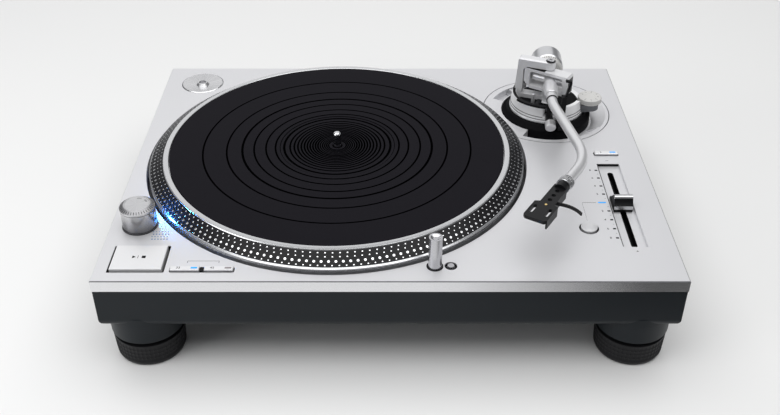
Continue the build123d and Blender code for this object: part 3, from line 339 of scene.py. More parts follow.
def eased(obj, width, angle=32):                  # a fine chamfer on every edge sharper than the angle
    pick(obj)
    bevel = obj.modifiers.new("edges", "BEVEL")
    bevel.width = width * mm
    bevel.segments = 1
    bevel.limit_method = "ANGLE"
    bevel.angle_limit = radians(angle)
    bpy.ops.object.modifier_apply(modifier="edges")
    return smoothed(obj)


def joined(name, pieces):
    pick(*pieces)
    bpy.ops.object.join()
    return newest(name)


def around(obj, count, x, y, angle=2 * pi):       # copies of all of a mesh about a standing axis
    pick(obj)
    bpy.ops.object.mode_set(mode="EDIT")
    bpy.ops.mesh.select_all(action="SELECT")
    steps = count if angle == 2 * pi else count - 1
    bpy.ops.mesh.spin(steps=steps, dupli=True, angle=angle, center=(x * mm, y * mm, 0), axis=(0, 0, -1))
    done()
    return obj


def spot(x, y, z, turn=0.0, tilt=0.0):            # a place in mm, turned about Z, then tipped about its own X
    return (Matrix.Translation(Vector((x, y, z)) * mm) @ Matrix.Rotation(radians(turn), 4, "Z")
            @ Matrix.Rotation(radians(tilt), 4, "X"))


def carried(obj, matrix):                         # a mesh moved to its place
    obj.data.transform(matrix)
    return obj


def copied(obj, name):
    twin = obj.copy()
    twin.data = obj.data.copy()
    twin.name = name
    bpy.context.scene.collection.objects.link(twin)
    return twin


def written(text, x, y, z, size, turn=0.0):       # printed figures, lying on a height
    clearAll()
    bpy.ops.object.text_add(location=(0, 0, 0))
    letters = bpy.context.object.data
    letters.body = text
    letters.size = size * mm
    letters.extrude = inkThick / 2 * mm
    letters.align_x = "CENTER"
    letters.align_y = "CENTER"
    letters.resolution_u = 3
    pick(bpy.context.object)
    bpy.ops.object.convert(target="MESH")
    obj = bpy.context.object
    obj.rotation_euler = (0, 0, radians(turn))
    obj.location = (x * mm, y * mm, (z + inkThick / 2) * mm)
    return settle(obj)


def dressed(obj, material, body):
    obj.data.materials.clear()
    obj.data.materials.append(material)
    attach(obj, body)
    return obj


def tinted(obj, material, test):                  # one more finish, on the faces that pass the test
    obj.data.materials.append(material)
    for face in obj.data.polygons:
        if test(face):
            face.material_index = len(obj.data.materials) - 1


# camera, lights and floor
view = {"lens": 44.92, "sensor": 36.0, "place": (-1.278, -740.052, 556.94), "down": 35.183, "turn": 0.114,
        "roll": 0.081}
bpy.ops.object.camera_add()
camera = bpy.context.object
camera.name = "photoCamera"
camera.data.lens = view["lens"]
camera.data.sensor_width = view["sensor"]
camera.matrix_world = (Matrix.Translation(Vector(view["place"]) * mm)
                       @ Matrix.Rotation(radians(-view["turn"]), 4, "Z")
                       @ Matrix.Rotation(radians(90 - view["down"]), 4, "X")
                       @ Matrix.Rotation(radians(view["roll"]), 4, "Z"))
bpy.context.scene.camera = camera
bpy.context.scene.view_settings.view_transform = "Standard"

skyStrength = 0.26
panels = {                                        # place, target, width and height in metres, power in watts
    "overheadPanel": ((0.0, -0.2, 1.9), (0, 0, 0.05), 3.2, 2.4, 47.0),
    "rearPanel": ((-0.45, 2.6, 1.5), (0, 0, 0.05), 4.0, 1.8, 16.0),
    "leftPanel": ((-1.1, -0.6, 0.45), (-0.15, -0.1, 0.05), 0.7, 0.7, 4.0),
}


def softLight(name, place, target, width, height, power):
    bpy.ops.object.light_add(type="AREA", location=place)
    lamp = bpy.context.object
    lamp.name = name
    lamp.data.shape = "RECTANGLE"
    lamp.data.size = width
    lamp.data.size_y = height
    lamp.data.energy = power
    lamp.rotation_euler = (Vector(target) - Vector(place)).to_track_quat("-Z", "Y").to_euler()


for name, values in panels.items():
    softLight(name, *values)

world = bpy.data.worlds.new("studioAir")
bpy.context.scene.world = world
world.use_nodes = True
air = world.node_tree
background = air.nodes["Background"]
background.inputs["Color"].default_value = (0.86, 0.87, 0.89, 1)
rays = air.nodes.new("ShaderNodeLightPath")
seen = Wire(air, rays.outputs["Is Camera Ray"])
feed(air, background.inputs["Strength"], seen * (1.0 - skyStrength) + skyStrength)

bpy.ops.mesh.primitive_plane_add(size=6.0, location=(0, 0.8, 0))
floor = newest("paleFloor")
floorFinish = Finish("paleSweep", (0.80, 0.80, 0.79), 0.6)
cloud = floorFinish.noise(1.4, 2.0)
floorFinish.set("Base Color", floorFinish.mixed(cloud, (0.80, 0.80, 0.80), (0.83, 0.83, 0.82)))
floorFinish.set("Roughness", 0.55 + cloud * 0.1)
floor.data.materials.append(floorFinish.material)

paperWhite, nearBlack, clothBlack = (0.80, 0.80, 0.80), (0.03, 0.03, 0.03), (0.02, 0.02, 0.02)
darkCard = slab("darkCard", 40, 790, -610, -232, 0, 2, 0.5)  # darkens the right end of the deck's front face
darkCard.data.materials.append(banded("fadedCard", "X", 60, 225, paperWhite, nearBlack, 0.8, (0, 0)))
darkScreen = slab("darkScreen", 100, 1000, -1005, -995, 0, 500, 1)  # behind the camera, low and to the right
darkScreen.data.materials.append(grainy("darkCloth", clothBlack, (0.035, 0.035, 0.035), 0.8, 0.0, 300, 0.1))
for board in (darkCard, darkScreen):              # seen only in reflections
    board.visible_camera = False
    board.visible_shadow = False
    board.visible_diffuse = False
print("camera, lights and floor set")


# finishes
dimSheen = {"Specular IOR Level": 0.2}
deepSheen = {"Specular IOR Level": 0.15}
matSheen = {"Specular IOR Level": 0.05}
panelAluminium = grainy("panelAluminium", (0.69, 0.69, 0.71), (0.77, 0.77, 0.785), 0.44, 0.6, 2400, 0.08, 0.08)
caseSlate = grainy("caseSlate", (0.007, 0.0095, 0.012), (0.015, 0.019, 0.023), 0.40, 0.0, 1700, 0.10, 0.10,
                   sockets=dimSheen)
footRubber = grainy("footRubber", (0.009, 0.009, 0.010), (0.016, 0.016, 0.018), 0.40, 0.0, 1200, 0.12,
                    sockets=dimSheen)
dieCast = grainy("dieCast", (0.10, 0.10, 0.105), (0.16, 0.16, 0.165), 0.5, 0.8, 700, 0.3)
satinSilver = grainy("satinSilver", (0.60, 0.605, 0.62), (0.70, 0.705, 0.72), 0.30, 0.95, 2600, 0.08)
armSilver = grainy("armSilver", (0.72, 0.72, 0.735), (0.79, 0.79, 0.80), 0.36, 0.7, 900, 0.02, 0.04)
brightChrome = grainy("brightChrome", (0.74, 0.745, 0.76), (0.84, 0.845, 0.86), 0.14, 1.0, 1500, 0.03, 0.05)
blackPaint = grainy("blackPaint", (0.004, 0.004, 0.005), (0.009, 0.009, 0.010), 0.32, 0.0, 1500, 0.06, 0.10,
                    sockets=dimSheen)
blackPlastic = grainy("blackPlastic", (0.003, 0.003, 0.004), (0.007, 0.007, 0.008), 0.42, 0.0, 1500, 0.12, 0.10,
                      sockets=deepSheen)
panelFront = grainy("panelFront", (0.74, 0.74, 0.76), (0.82, 0.82, 0.835), 0.20, 0.97, 2400, 0.08, 0.08)
panelEdgeShade = grainy("panelEdgeShade", (0.13, 0.13, 0.14), (0.19, 0.19, 0.20), 0.45, 0.6, 2400, 0.08, 0.08)
gripBlack = grainy("gripBlack", (0.003, 0.003, 0.004), (0.007, 0.007, 0.008), 0.55, 0.0, 1500, 0.10, 0.10,
                   sockets=matSheen)
gimbalSilver = grainy("gimbalSilver", (0.72, 0.72, 0.735), (0.80, 0.80, 0.81), 0.44, 0.35, 1900, 0.10, 0.08)
riserSilver = grainy("riserSilver", (0.84, 0.84, 0.85), (0.92, 0.92, 0.93), 0.36, 0.3, 1900, 0.06, 0.08)
slopeGrey = grainy("slopeGrey", (0.30, 0.30, 0.31), (0.38, 0.38, 0.39), 0.38, 0.8, 2200, 0.06)
greyMetal = grainy("greyMetal", (0.12, 0.125, 0.135), (0.17, 0.175, 0.185), 0.35, 0.8, 2200, 0.08)
beigeDial = grainy("beigeDial", (0.56, 0.555, 0.54), (0.65, 0.645, 0.63), 0.42, 0.1, 1800, 0.06)
steelMetal = grainy("steelMetal", (0.50, 0.50, 0.52), (0.62, 0.62, 0.64), 0.22, 1.0, 1800, 0.06)
brassMetal = grainy("brassMetal", (0.62, 0.45, 0.18), (0.74, 0.56, 0.26), 0.28, 1.0, 1500, 0.06)
magnetIron = grainy("magnetIron", (0.05, 0.05, 0.055), (0.08, 0.08, 0.085), 0.5, 0.6, 900, 0.2)
boardGreen = grainy("boardGreen", (0.01, 0.10, 0.05), (0.02, 0.15, 0.08), 0.4, 0.0, 500, 0.1)
inkAndShadeGrey = grainy("inkAndShadeGrey", (0.004, 0.004, 0.005), (0.009, 0.009, 0.010), 0.6, 0.0, 2000, 0.05,
                 sockets=matSheen)
inkBlue = grainy("inkBlue", (0.06, 0.15, 0.34), (0.10, 0.22, 0.44), 0.5, 0.0, 2000, 0.05)
wireWhite = grainy("wireWhite", (0.70, 0.69, 0.66), (0.80, 0.79, 0.77), 0.4, 0.0, 1500, 0.05)
wireBlue = grainy("wireBlue", (0.02, 0.08, 0.40), (0.03, 0.12, 0.50), 0.4, 0.0, 1500, 0.05)
wireRed = grainy("wireRed", (0.42, 0.02, 0.02), (0.55, 0.04, 0.03), 0.4, 0.0, 1500, 0.05)
wireGreen = grainy("wireGreen", (0.02, 0.26, 0.06), (0.03, 0.35, 0.10), 0.4, 0.0, 1500, 0.05)
blueLight = lit("blueLight", (0.0, 0.24, 0.62), 0.75)
dullLight = grainy("dullLight", (0.22, 0.20, 0.21), (0.30, 0.27, 0.28), 0.35, 0.0, 1500, 0.05)
strobeGlow = lit("strobeGlow", (0.01, 0.24, 1.0), 260.0)
platterMetal = turnedMetal("platterMetal", (0.58, 0.585, 0.60), (0.74, 0.745, 0.755), 0.25,
                           *places["platter"], False, 2600)
knobSpun = turnedMetal("knobSpun", (0.52, 0.52, 0.535), (0.80, 0.80, 0.81), 0.36,
                       *places["tower"], True, 9, 0.2)
adaptorSpun = turnedMetal("adaptorSpun", (0.52, 0.52, 0.535), (0.80, 0.80, 0.81), 0.27,
                          *places["adaptor"], True, 9, 0.2)

rubber = Finish("matRubber", (0.010, 0.010, 0.011), 0.62, 0.0, matSheen)
matRings = rubber.rings(*places["platter"], 1400)
dust = rubber.noise(700, 3.0)
rubber.set("Base Color", rubber.mixed(matRings * 0.5 + dust * 0.5,
                                      (0.005, 0.0045, 0.0065), (0.011, 0.0102, 0.0138)))
rubber.set("Roughness", 0.50 + matRings * 0.14 + dust * 0.08)
rubber.relief(matRings * 0.7 + dust * 0.3, 0.25, 0.0002)
matRubber = rubber.material
grooveShade = grainy("grooveShade", (0.0003, 0.0003, 0.0004), (0.0010, 0.0010, 0.0012), 0.8, 0.0, 1200, 0.05,
                     0.05, {"Specular IOR Level": 0.0})
# painted shade: the tower's side is painted dark at the deck and lighter upwards
towerShadedMetal = banded("towerShadedMetal", "Z", 89.5, 107.0, (0.05, 0.05, 0.055), (0.56, 0.56, 0.575), 0.24,
                    (0.95, 0.95))
buttonFrontHighlight, buttonFlat = (0.84, 0.84, 0.855), (0.80, 0.80, 0.81)  # a button's front face, painted lighter as a painted highlight and fully metallic, and the rest of it
frontSilver = banded("frontSilver", "Y", -162.45, -162.35, buttonFrontHighlight, buttonFlat, 0.38, (1.0, 0.4))
rangeSilver = banded("rangeSilver", "Y", 4.05, 4.15, buttonFrontHighlight, buttonFlat, 0.38, (1.0, 0.4))
print("finishes made")

nodeFinish = {
    "chassis": dieCast, "cabinet": caseSlate, "case_screws": steelMetal, "arm_base_plate": panelAluminium,
    "lock_lever": satinSilver, "height_ring": gripBlack, "riser": riserSilver, "bridge": gimbalSilver,
    "pivot_screws": steelMetal, "gimbal_ring": gimbalSilver, "gimbal_pins": steelMetal, "arm_hub": armSilver,
    "arm_tube": armSilver, "weight_sleeve": blackPlastic, "counterweight": satinSilver, "force_dial": beigeDial,
    "headshell": blackPaint, "shell_connector": brassMetal, "arm_rest": blackPlastic, "arm_clip": blackPlastic,
    "lifter": blackPlastic, "skate_arm": greyMetal, "skate_knob": beigeDial, "rotor_magnet": magnetIron,
    "bearing_housing": steelMetal, "bearing_bushes": brassMetal, "motor_stator": boardGreen,
    "adaptor_45": adaptorSpun, "strobe_housing": towerShadedMetal, "strobe_window": strobeGlow,
    "power_knob": knobSpun, "start_button": frontSilver, "speed_button_33": frontSilver,
    "speed_button_45": frontSilver, "range_button": rangeSilver, "reset_button": armSilver,
    "light_button": steelMetal, "light_tube": steelMetal, "pitch_cap": blackPlastic,
    "pitch_fader": blackPlastic, "signal_terminals": brassMetal, "ground_nut": brassMetal,
    "power_inlet": blackPlastic, "hinge_sockets": blackPlastic, "power_supply": boardGreen,
    "control_board": boardGreen, "spindle": steelMetal, "cue_lever": armSilver, "collar_nut": brightChrome,
    "platter": platterMetal, "platter_mat": matRubber, "top_plate": panelAluminium,
}
for name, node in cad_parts.items():
    finish = steelMetal if name.startswith("foot_stud") else nodeFinish.get(name, footRubber)
    for i in range(len(node.data.materials)):
        node.data.materials[i] = finish
print("frame nodes dressed")


# top plate
plate = {
    "left": -226.5, "right": 226.5, "front": -174.5, "rear": 174.5, "bottom": 80.0,
    "edge": 0.6, "fine": 0.12, "wellRadius": 168.8, "armRadius": 60.8, "dishRadius": 20.8, "dishFloor": 87.0,
    "below": 78.0, "above": 92.0,                 # how far the cutters go
}
openings = {                                      # left, right, front and rear
    "start": (-216.3, -172.3, -163.7, -130.1), "speed": (-168.55, -118.7, -163.5, -157.0),
    "range": (183.9, 206.3, 3.0, 9.5), "trough": (184.3, 203.6, -131.5, -10.0),
    "slot": (191.45, 196.45, -128.9, -20.4),
}
resetOpening = (161, -106.5, 8.0)                 # x, y and radius


def roundCutter(x, y, radius, bottom, top, sides):
    return pillar("cutter", x, y, radius, bottom, top, sides)


def boxCutter(left, right, front, rear, bottom, top, corner=0.0):
    obj = block("cutter", left, right, front, rear, bottom, top)
    if corner:
        chosen(obj, "EDGE", lambda a, b: abs(a.x - b.x) + abs(a.y - b.y) < 1e-6)
        bpy.ops.mesh.bevel(offset=corner * mm, segments=6, affect="EDGES")
        done()
    return obj


deckPlate = block("deckPlate", plate["left"], plate["right"], plate["front"], plate["rear"],
                  plate["bottom"], deckTop)
chosen(deckPlate, "EDGE", lambda a, b: min(a.z, b.z) > (deckTop - 0.1) * mm)
bpy.ops.mesh.bevel(offset=plate["edge"] * mm, segments=1, affect="EDGES")
done()
through = plate["below"], plate["above"]
carve(deckPlate,
      roundCutter(*places["platter"], plate["wellRadius"], *through, 256),
      roundCutter(*places["arm"], plate["armRadius"], *through, 160),
      roundCutter(*places["adaptor"], plate["dishRadius"], plate["dishFloor"], plate["above"], 96),
      boxCutter(*openings["start"], *through, 1.2),
      boxCutter(*openings["speed"], *through, 1.6),
      boxCutter(*openings["range"], *through, 1.6),
      roundCutter(*resetOpening, *through, 64),
      roundCutter(*places["light"], 5.55, *through, 48),
      roundCutter(*places["switch"], 4.9, 88.8, plate["above"], 48),
      roundCutter(*places["switch"], 2.9, *through, 32),
      boxCutter(*openings["trough"], 87.3, plate["above"], 0.4),
      boxCutter(*openings["slot"], *through, 2.49))
eased(deckPlate, plate["fine"])
smoothed(deckPlate, 20)
dressed(deckPlate, panelAluminium, "case")


def onFront(face):
    return face.center.y < (plate["front"] + 1) * mm


def onEdge(face):                                 # the chamfer along the front and the right, painted dark as a painted shade line
    atRight = face.center.x > (plate["right"] - 0.9) * mm and face.normal.z > 0.3
    atFront = onFront(face) and face.normal.y >= -0.95
    return face.center.z > (deckTop - 1) * mm and (atFront or (atRight and not onFront(face)))


# painted shade: the slot's inner walls are painted black
def inSlot(face):
    left, right, front, rear = openings["slot"]
    x, y, _ = face.center / mm
    return left - 0.15 < x < right + 0.15 and front - 0.2 < y < rear + 0.2 and abs(face.normal.z) < 0.3


tinted(deckPlate, panelFront, lambda face: onFront(face) and face.normal.y < -0.95)
tinted(deckPlate, panelEdgeShade, onEdge)
tinted(deckPlate, gripBlack, inSlot)
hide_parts("top_plate")
print("top plate made")


# painted shade: dark liners in the button wells stand for the shadow in the gaps round the buttons
liner = {"gap": 0.02, "wall": 0.45, "top": 89.4, "floor": 80.9, "bottom": 80.05}


def inset(sides, gap):                            # left, right, front and rear, drawn in by a gap
    left, right, front, rear = sides
    return left + gap, right - gap, front + gap, rear - gap


def boxLiner(sides):
    outer = slab("liner", *inset(sides, liner["gap"]), liner["bottom"], liner["top"], 0.1, 1)
    return carve(outer, boxCutter(*inset(sides, liner["wall"]), liner["floor"], 95, 0.8))


def roundLiner(x, y, radius):
    outer, inner = radius - liner["gap"], radius - liner["wall"]
    return turned("liner", [(0, liner["bottom"]), (outer, liner["bottom"]), (outer, liner["top"]),
                            (inner, liner["top"]), (inner, liner["floor"]), (0, liner["floor"])], x, y, 48)


linings = [boxLiner(openings[name]) for name in ("start", "speed", "range")] + [roundLiner(*resetOpening)]
buttonWellShade = smoothed(joined("buttonWellShade", linings))
dressed(buttonWellShade, blackPlastic, "case")
slotShade = slab("slotShade", 191.5, 196.4, -128.8, -20.5, liner["bottom"], 80.3, 0.05, 1)
dressed(slotShade, blackPlastic, "case")
print("button wells lined")


# platter, strobe dots, mat and spindle
cone = {"outer": 164.8, "low": 94.65, "inner": 153.6, "high": 101.45}  # the black slope that carries the dots
platterProfile = [
    (5.0, 94.0), (18.0, 94.0), (157.0, 94.0), (157.0, 82.0), (165.6, 82.0), (166.0, 82.4),
    (166.0, 90.8), (165.3, 91.0), (165.3, 91.5), (166.0, 91.7), (166.0, 93.0), (164.95, 93.8), (164.85, 94.2),
    (cone["outer"], cone["low"]), (cone["inner"], cone["high"]),
    (153.3, 101.4), (153.1, 101.9), (152.7, 102.25), (151.2, 102.35), (149.2, 102.35), (148.7, 102.25),
    (148.4, 101.9), (148.4, 99.05), (5.0, 99.05), (5.0, 94.0)]
platterTurn = turned("platterTurn", platterProfile, *places["platter"], 224)
dressed(platterTurn, platterMetal, "platter")


def reach(face):                                  # how far a face lies from the spindle, in mm
    return (face.center / mm - Vector((*places["platter"], 0))).xy.length


tinted(platterTurn, blackPaint, lambda face: 153.3 < reach(face) < 164.85 and face.center.z > 94.0 * mm)
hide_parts("platter")

dotRows = [                                       # distance from the spindle, radius, number, ringed or not
    (155.1, 0.62, 170, False), (157.9, 0.62, 174, False), (161.1, 1.05, 180, True), (164.0, 0.62, 186, False)]
coneRise = cone["high"] - cone["low"]
coneRun = cone["outer"] - cone["inner"]
dotPieces = []
for radius, size, count, ringed in dotRows:
    height = cone["low"] + (cone["outer"] - radius) * coneRise / coneRun
    clearAll()
    bpy.ops.mesh.primitive_cylinder_add(vertices=10, radius=size * mm, depth=0.3 * mm)
    dot = newest("dot")
    chosen(dot, "FACE", lambda face: face.normal.z > 0.9)
    bpy.ops.mesh.inset(thickness=size * 0.35 * mm, depth=0.1 * mm)
    if ringed:
        bpy.ops.mesh.inset(thickness=size * 0.3 * mm, depth=-0.14 * mm)
    done()
    platterX, platterY = places["platter"]
    carried(dot, Matrix.Translation(Vector((platterX + radius, platterY, height)) * mm)
            @ Matrix.Rotation(atan2(coneRise, coneRun), 4, "Y"))
    dotPieces.append(around(dot, count, platterX, platterY))
strobeDots = smoothed(joined("strobeDots", dotPieces), 50)
dressed(strobeDots, brightChrome, "platter")

mat = {"top": 102.0, "middleTop": 101.7, "middle": 51.0, "deep": 0.5, "slope": 0.35,
       "outerGrooves": (118.7, 97.9, 84.2, 73.9, 63.4, 55.0),
       "middleGrooves": (47.3, 42.1, 38.4, 35.2, 32.2, 29.4, 26.8, 24.3, 21.9, 19.6, 17.4),
       "spindleGrooves": (15.3, 13.3, 11.4, 9.6, 7.9), "wide": (84.2, 47.3)}


def groove(radius, half, top):                    # four points of the mat's profile, from the outside in
    floorHalf, floorHeight = half - mat["slope"], top - mat["deep"]
    return [(radius + half, top), (radius + floorHalf, floorHeight), (radius - floorHalf, floorHeight),
            (radius - half, top)]


matProfile = [(4.6, 99.1), (147.4, 99.1), (147.85, 99.6), (147.9, 101.4), (147.6, 101.85), (147.0, mat["top"])]
for radius in mat["outerGrooves"]:
    matProfile += groove(radius, 1.05 if radius in mat["wide"] else 0.8, mat["top"])
matProfile += [(51.2, mat["top"]), (50.6, mat["middleTop"])]
for radius in mat["middleGrooves"]:
    matProfile += groove(radius, 1.05 if radius in mat["wide"] else 0.8, mat["middleTop"])
for radius in mat["spindleGrooves"]:
    matProfile += groove(radius, 0.62, mat["middleTop"])
matProfile += [(5.2, mat["middleTop"]), (4.6, 101.4), (4.6, 99.1)]
turnedMat = turned("turnedMat", matProfile, *places["platter"], 192)
dressed(turnedMat, matRubber, "platter")


# painted shade: groove faces in the mat are painted darker than the rubber and without sheen
def inGroove(face):
    height = face.center.z / mm
    top = mat["top"] if reach(face) > mat["middle"] else mat["middleTop"]
    sunk = height < top - mat["deep"] / 2 or abs(face.normal.z) < 0.95
    return sunk and 100.7 < height < 101.95 and 5.3 < reach(face) < 147


tinted(turnedMat, grooveShade, inGroove)
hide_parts("platter_mat")

spindlePin = turned("spindlePin", [
    (0, 57.06), (5.0, 57.06), (5.0, 90.3), (14.0, 90.3), (14.0, 93.0), (4.2, 93.0), (4.2, 98.6), (3.75, 98.9),
    (3.6, 99.2), (3.6, 112.6), (3.35, 113.9), (2.8, 114.8), (1.9, 115.3), (0.8, 115.5), (0, 115.5)],
    *places["platter"], 40)
dressed(spindlePin, brightChrome, "platter")
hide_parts("spindle")
print("platter, dots, mat and spindle made")


# power knob and strobe tower
knob = {"ticks": 25, "sweep": 230.0, "slope": 32.6, "edge": 108.8, "top": 111.0, "words": 2.3}
powerCap = turned("powerCap", [
    (0, 94.3), (4.0, 94.3), (4.0, 107.3), (13.8, 107.3), (14.2, 107.7), (14.2, knob["edge"]), (14.0, 109.1),
    (10.95, 111.05), (10.6, 111.2), (10.0, 111.2), (9.7, knob["top"]), (0, knob["top"])], *places["tower"])
dressed(powerCap, knobSpun, "power_knob")
tinted(powerCap, slopeGrey, lambda face: face.center.z > knob["edge"] * mm and 0.4 < face.normal.z < 0.95)
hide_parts("power_knob")
capTicks = slab("capTicks", -0.24, 0.24, -1.2, 1.2, -0.02, 0.1, 0.04, 1)
carried(capTicks, spot(*places["tower"], 0, -knob["sweep"] / 2) @ spot(0, -12.6, 110.02, 0, knob["slope"]))
around(capTicks, knob["ticks"], *places["tower"], radians(knob["sweep"]))
dressed(capTicks, inkAndShadeGrey, "power_knob")
towerX, towerY = places["tower"]
capWords = joined("capWords", [
    written("OFF", towerX + 6.2, towerY + 4.4, knob["top"], knob["words"], -55),
    written("ON", towerX + 0.6, towerY + 7.6, knob["top"], knob["words"], -5)])
dressed(capWords, inkAndShadeGrey, "power_knob")
towerSkirt = turned("towerSkirt", [(13.95, 90.02), (14.5, 90.02), (14.5, 90.5), (14.4, 90.7), (13.95, 90.7),
                                   (13.95, 90.02)], towerX, towerY, 72)
dressed(towerSkirt, blackPlastic, "case")
dotField = {"left": -190.0, "rear": -111.6, "across": 2.4, "down": 3.3, "shift": 0.6, "columns": 6, "rows": 4}
keyDots = []
for row in range(dotField["rows"]):
    odd = row % 2                                 # every other row is moved aside and larger
    for column in range(dotField["columns"]):
        keyDots.append(drum("dot", dotField["left"] + dotField["across"] * column + dotField["shift"] * odd,
                            dotField["rear"] - dotField["down"] * row, 0.55 + 0.15 * odd,
                            deckTop, deckTop + inkThick, 0.01, 8))
dressed(joined("deckDots", keyDots), inkBlue, "case")
print("knob and tower made")


# marks, lamps and trims on the deck
def mark(left, right, front, rear, height=deckTop):
    return slab("mark", left, right, front, rear, height, height + inkThick, 0.01, 1)


def lamp(name, left, right, front, rear):         # a lens that stands a little out of a button
    return slab(name, left, right, front, rear, buttonTop - 0.1, buttonTop + 0.12, 0.1)


arrow = drum("arrow", 0, 0, 1.9, buttonTop, buttonTop + inkThick, 0.01, 3)
carried(arrow, spot(-198.4, -146.9, 0, -90))
startMarks = joined("startMarks", [arrow, mark(-195.1, -194.7, -148.6, -145.2, buttonTop),
                                   mark(-191.9, -188.9, -148.4, -145.4, buttonTop)])
dressed(startMarks, inkAndShadeGrey, "start_button")
digitSize = 3.3
for speed, x, finish in (("33", -156.6, blueLight), ("45", -130.65, dullLight)):
    digits = written(speed, x - 5.0, -160.25, buttonTop, digitSize)
    digits.name = "digits" + speed
    dressed(digits, inkAndShadeGrey, "speed_button_" + speed)
    lens = lamp("lamp" + speed, x + 4.6, x + 9.6, -161.2, -159.3)
    dressed(lens, finish, "speed_button_" + speed)
rangeDigit = written("2", 190.2, 6.25, buttonTop, digitSize)
rangeDigit.name = "rangeDigit"
dressed(rangeDigit, inkAndShadeGrey, "range_button")
dressed(lamp("rangeLamp", 198.2, 203.4, 5.3, 7.2), blueLight, "range_button")
gapBlock = slab("gapBlock", -145.1, -142.15, -162.9, -157.6, 80.9, 90.7, 0.3)
dressed(gapBlock, blackPlastic, "case")
tubeSeal = turned("tubeSeal", [(5.57, 90.01), (6.5, 90.01), (6.5, 90.25), (6.3, 90.4), (5.57, 90.4),
                               (5.57, 90.01)], *places["light"], 48)
dressed(tubeSeal, blackPlastic, "case")
switchRing = hoop("switchRing", 3.05, 4.8, 88.82, 89.0, *places["switch"], 48)
dressed(switchRing, gripBlack, "case")

bracket = {"left": -156.3, "right": -131.7, "front": -151.9, "bar": -149.6, "line": 0.3}
scale = {"zero": -70.25, "step": 12.37, "digits": 176.2, "ticks": 181.5, "numbers": (8, 6, 4, 2, 0, 2, 4, 6, 8),
         "size": 3.4}
deckInkAndShade = [mark(bracket["left"], bracket["right"], bracket["bar"], bracket["bar"] + bracket["line"]),
           mark(bracket["left"], bracket["left"] + bracket["line"], bracket["front"], bracket["bar"]),
           mark(bracket["right"] - bracket["line"], bracket["right"], bracket["front"], bracket["bar"])]
for i, number in enumerate(scale["numbers"]):
    y = scale["zero"] + (4 - i) * scale["step"]
    if number:
        deckInkAndShade.append(written(str(number), scale["digits"], y, deckTop, scale["size"]))
        deckInkAndShade.append(mark(scale["ticks"] - 1.2, scale["ticks"] + 1.2, y - 0.9, y + 0.9))
    if i < 8:
        middle = y - scale["step"] / 2
        deckInkAndShade.append(mark(scale["ticks"] - 0.1, scale["ticks"] + 0.9, middle - 0.15, middle + 0.15))
deckInkAndShade.append(mark(183.75, 184.2, -131.0, -10.4))  # painted shade along the trough's left edge
deckInkAndShade.append(mark(161.3, 172.9, -70.65, -70.35))  # from the zero lamp, then dotted to the reset button
for i in range(17):
    deckInkAndShade.append(mark(161.1, 161.4, -71.8 - 1.5 * i, -71.2 - 1.5 * i))
deckInkAndShade += [written("+", 193.95, -137.4, deckTop, 4.2), mark(192.6, 195.3, -5.3, -4.9)]
dressed(joined("deckInkAndShade", deckInkAndShade), inkAndShadeGrey, "case")
troughShade = joined("troughShade", [
    slab("wall", 184.5, 203.4, -10.35, -10.02, 87.35, 89.5, 0.05, 1),
    slab("wall", 184.32, 184.62, -131.4, -10.4, 87.35, 89.5, 0.05, 1)])
dressed(troughShade, blackPlastic, "case")
zeroLamp = slab("zeroLamp", 174.6, 181.2, -71.2, -69.6, deckTop, deckTop + 0.2, 0.1)
dressed(zeroLamp, blueLight, "case")

# pitch cap: a wedge with silver along its front and its ridge
grip = {"left": 186.15, "right": 201.75, "stem": (192.15, 195.75, -77.6, -71.6, 76.0, 88.0), "edge": 0.22}
gripSide = [
    (-81.0, 87.6), (-80.95, 90.1), (-80.6, 93.1), (-79.2, 94.4), (-77.9, 96.2), (-76.9, 98.4), (-76.3, 99.7),
    (-75.2, 100.4), (-73.9, 100.5), (-72.6, 99.9), (-66.0, 93.6), (-62.2, 91.2), (-60.8, 89.6), (-60.4, 87.6)]


def silvered(face):
    y, z = face.center.y / mm, face.center.z / mm
    return (y < -80.3 and 90.2 < z < 93.3) or (z > 98.5 and -77 < y < -71.8)


gripBody = walled("gripBody", gripSide, grip["left"], grip["right"])
gripCap = joined("gripCap", [eased(gripBody, grip["edge"], 50), slab("stem", *grip["stem"], 0.2, 1)])
dressed(gripCap, blackPlastic, "pitch_cap")
tinted(gripCap, satinSilver, silvered)
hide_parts("pitch_cap")
gripLine = slab("gripLine", grip["left"] + 0.3, grip["right"] - 0.3, -75.15, -74.5, 100.3, 100.56, 0.04, 1)
dressed(gripLine, inkAndShadeGrey, "pitch_cap")
print("deck marks and trims made")


# feet with knurled rings
def knurled(obj, test, rim, depth):               # each chosen face is sunk inside its own rim
    chosen(obj, "FACE", test)
    bpy.ops.mesh.inset(thickness=rim * mm, depth=-depth * mm, use_individual=True)
    done()
    return smoothed(obj, 20)


foot = {"x": 196.5, "y": 144.5, "steps": 54, "cell": 0.42, "deep": 0.5}
footProfile = [
    (0, 0), (24.6, 0), (26.9, 0.9), (27.8, 3.0), (27.9, 4.6), (28.1, 8.6), (28.3, 12.6), (28.5, 16.6),
    (28.7, 20.6), (28.5, 21.5), (27.9, 21.7), (24.0, 21.7), (24.0, 25.5), (5.3, 25.5), (5.3, 15.4), (0, 15.4)]


def upright(face, low, high, radius):             # part of an outer wall, between two heights
    return low < face.center.z / mm < high and abs(face.normal.z) < 0.3 and face.center.xy.length > radius * mm


firstFoot = turned("footTurn", footProfile, 0, 0, foot["steps"])
knurled(firstFoot, lambda face: upright(face, 4.5, 20.7, 20), foot["cell"], foot["deep"])
for name, x, y in (("front_left", -1, -1), ("rear_left", -1, 1), ("front_right", 1, -1), ("rear_right", 1, 1)):
    twin = carried(copied(firstFoot, "footTurn." + name), spot(x * foot["x"], y * foot["y"], 0))
    dressed(twin, footRubber, "foot_ring_" + name)
    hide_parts("foot_ring_" + name)
bpy.data.objects.remove(firstFoot)
print("feet made")


# tonearm base: height ring, riser teeth, knob, cue lever
arm = {"z": 123.8, "heading": -3.65, "gimbal": -31.8}
armX, armY = places["arm"]
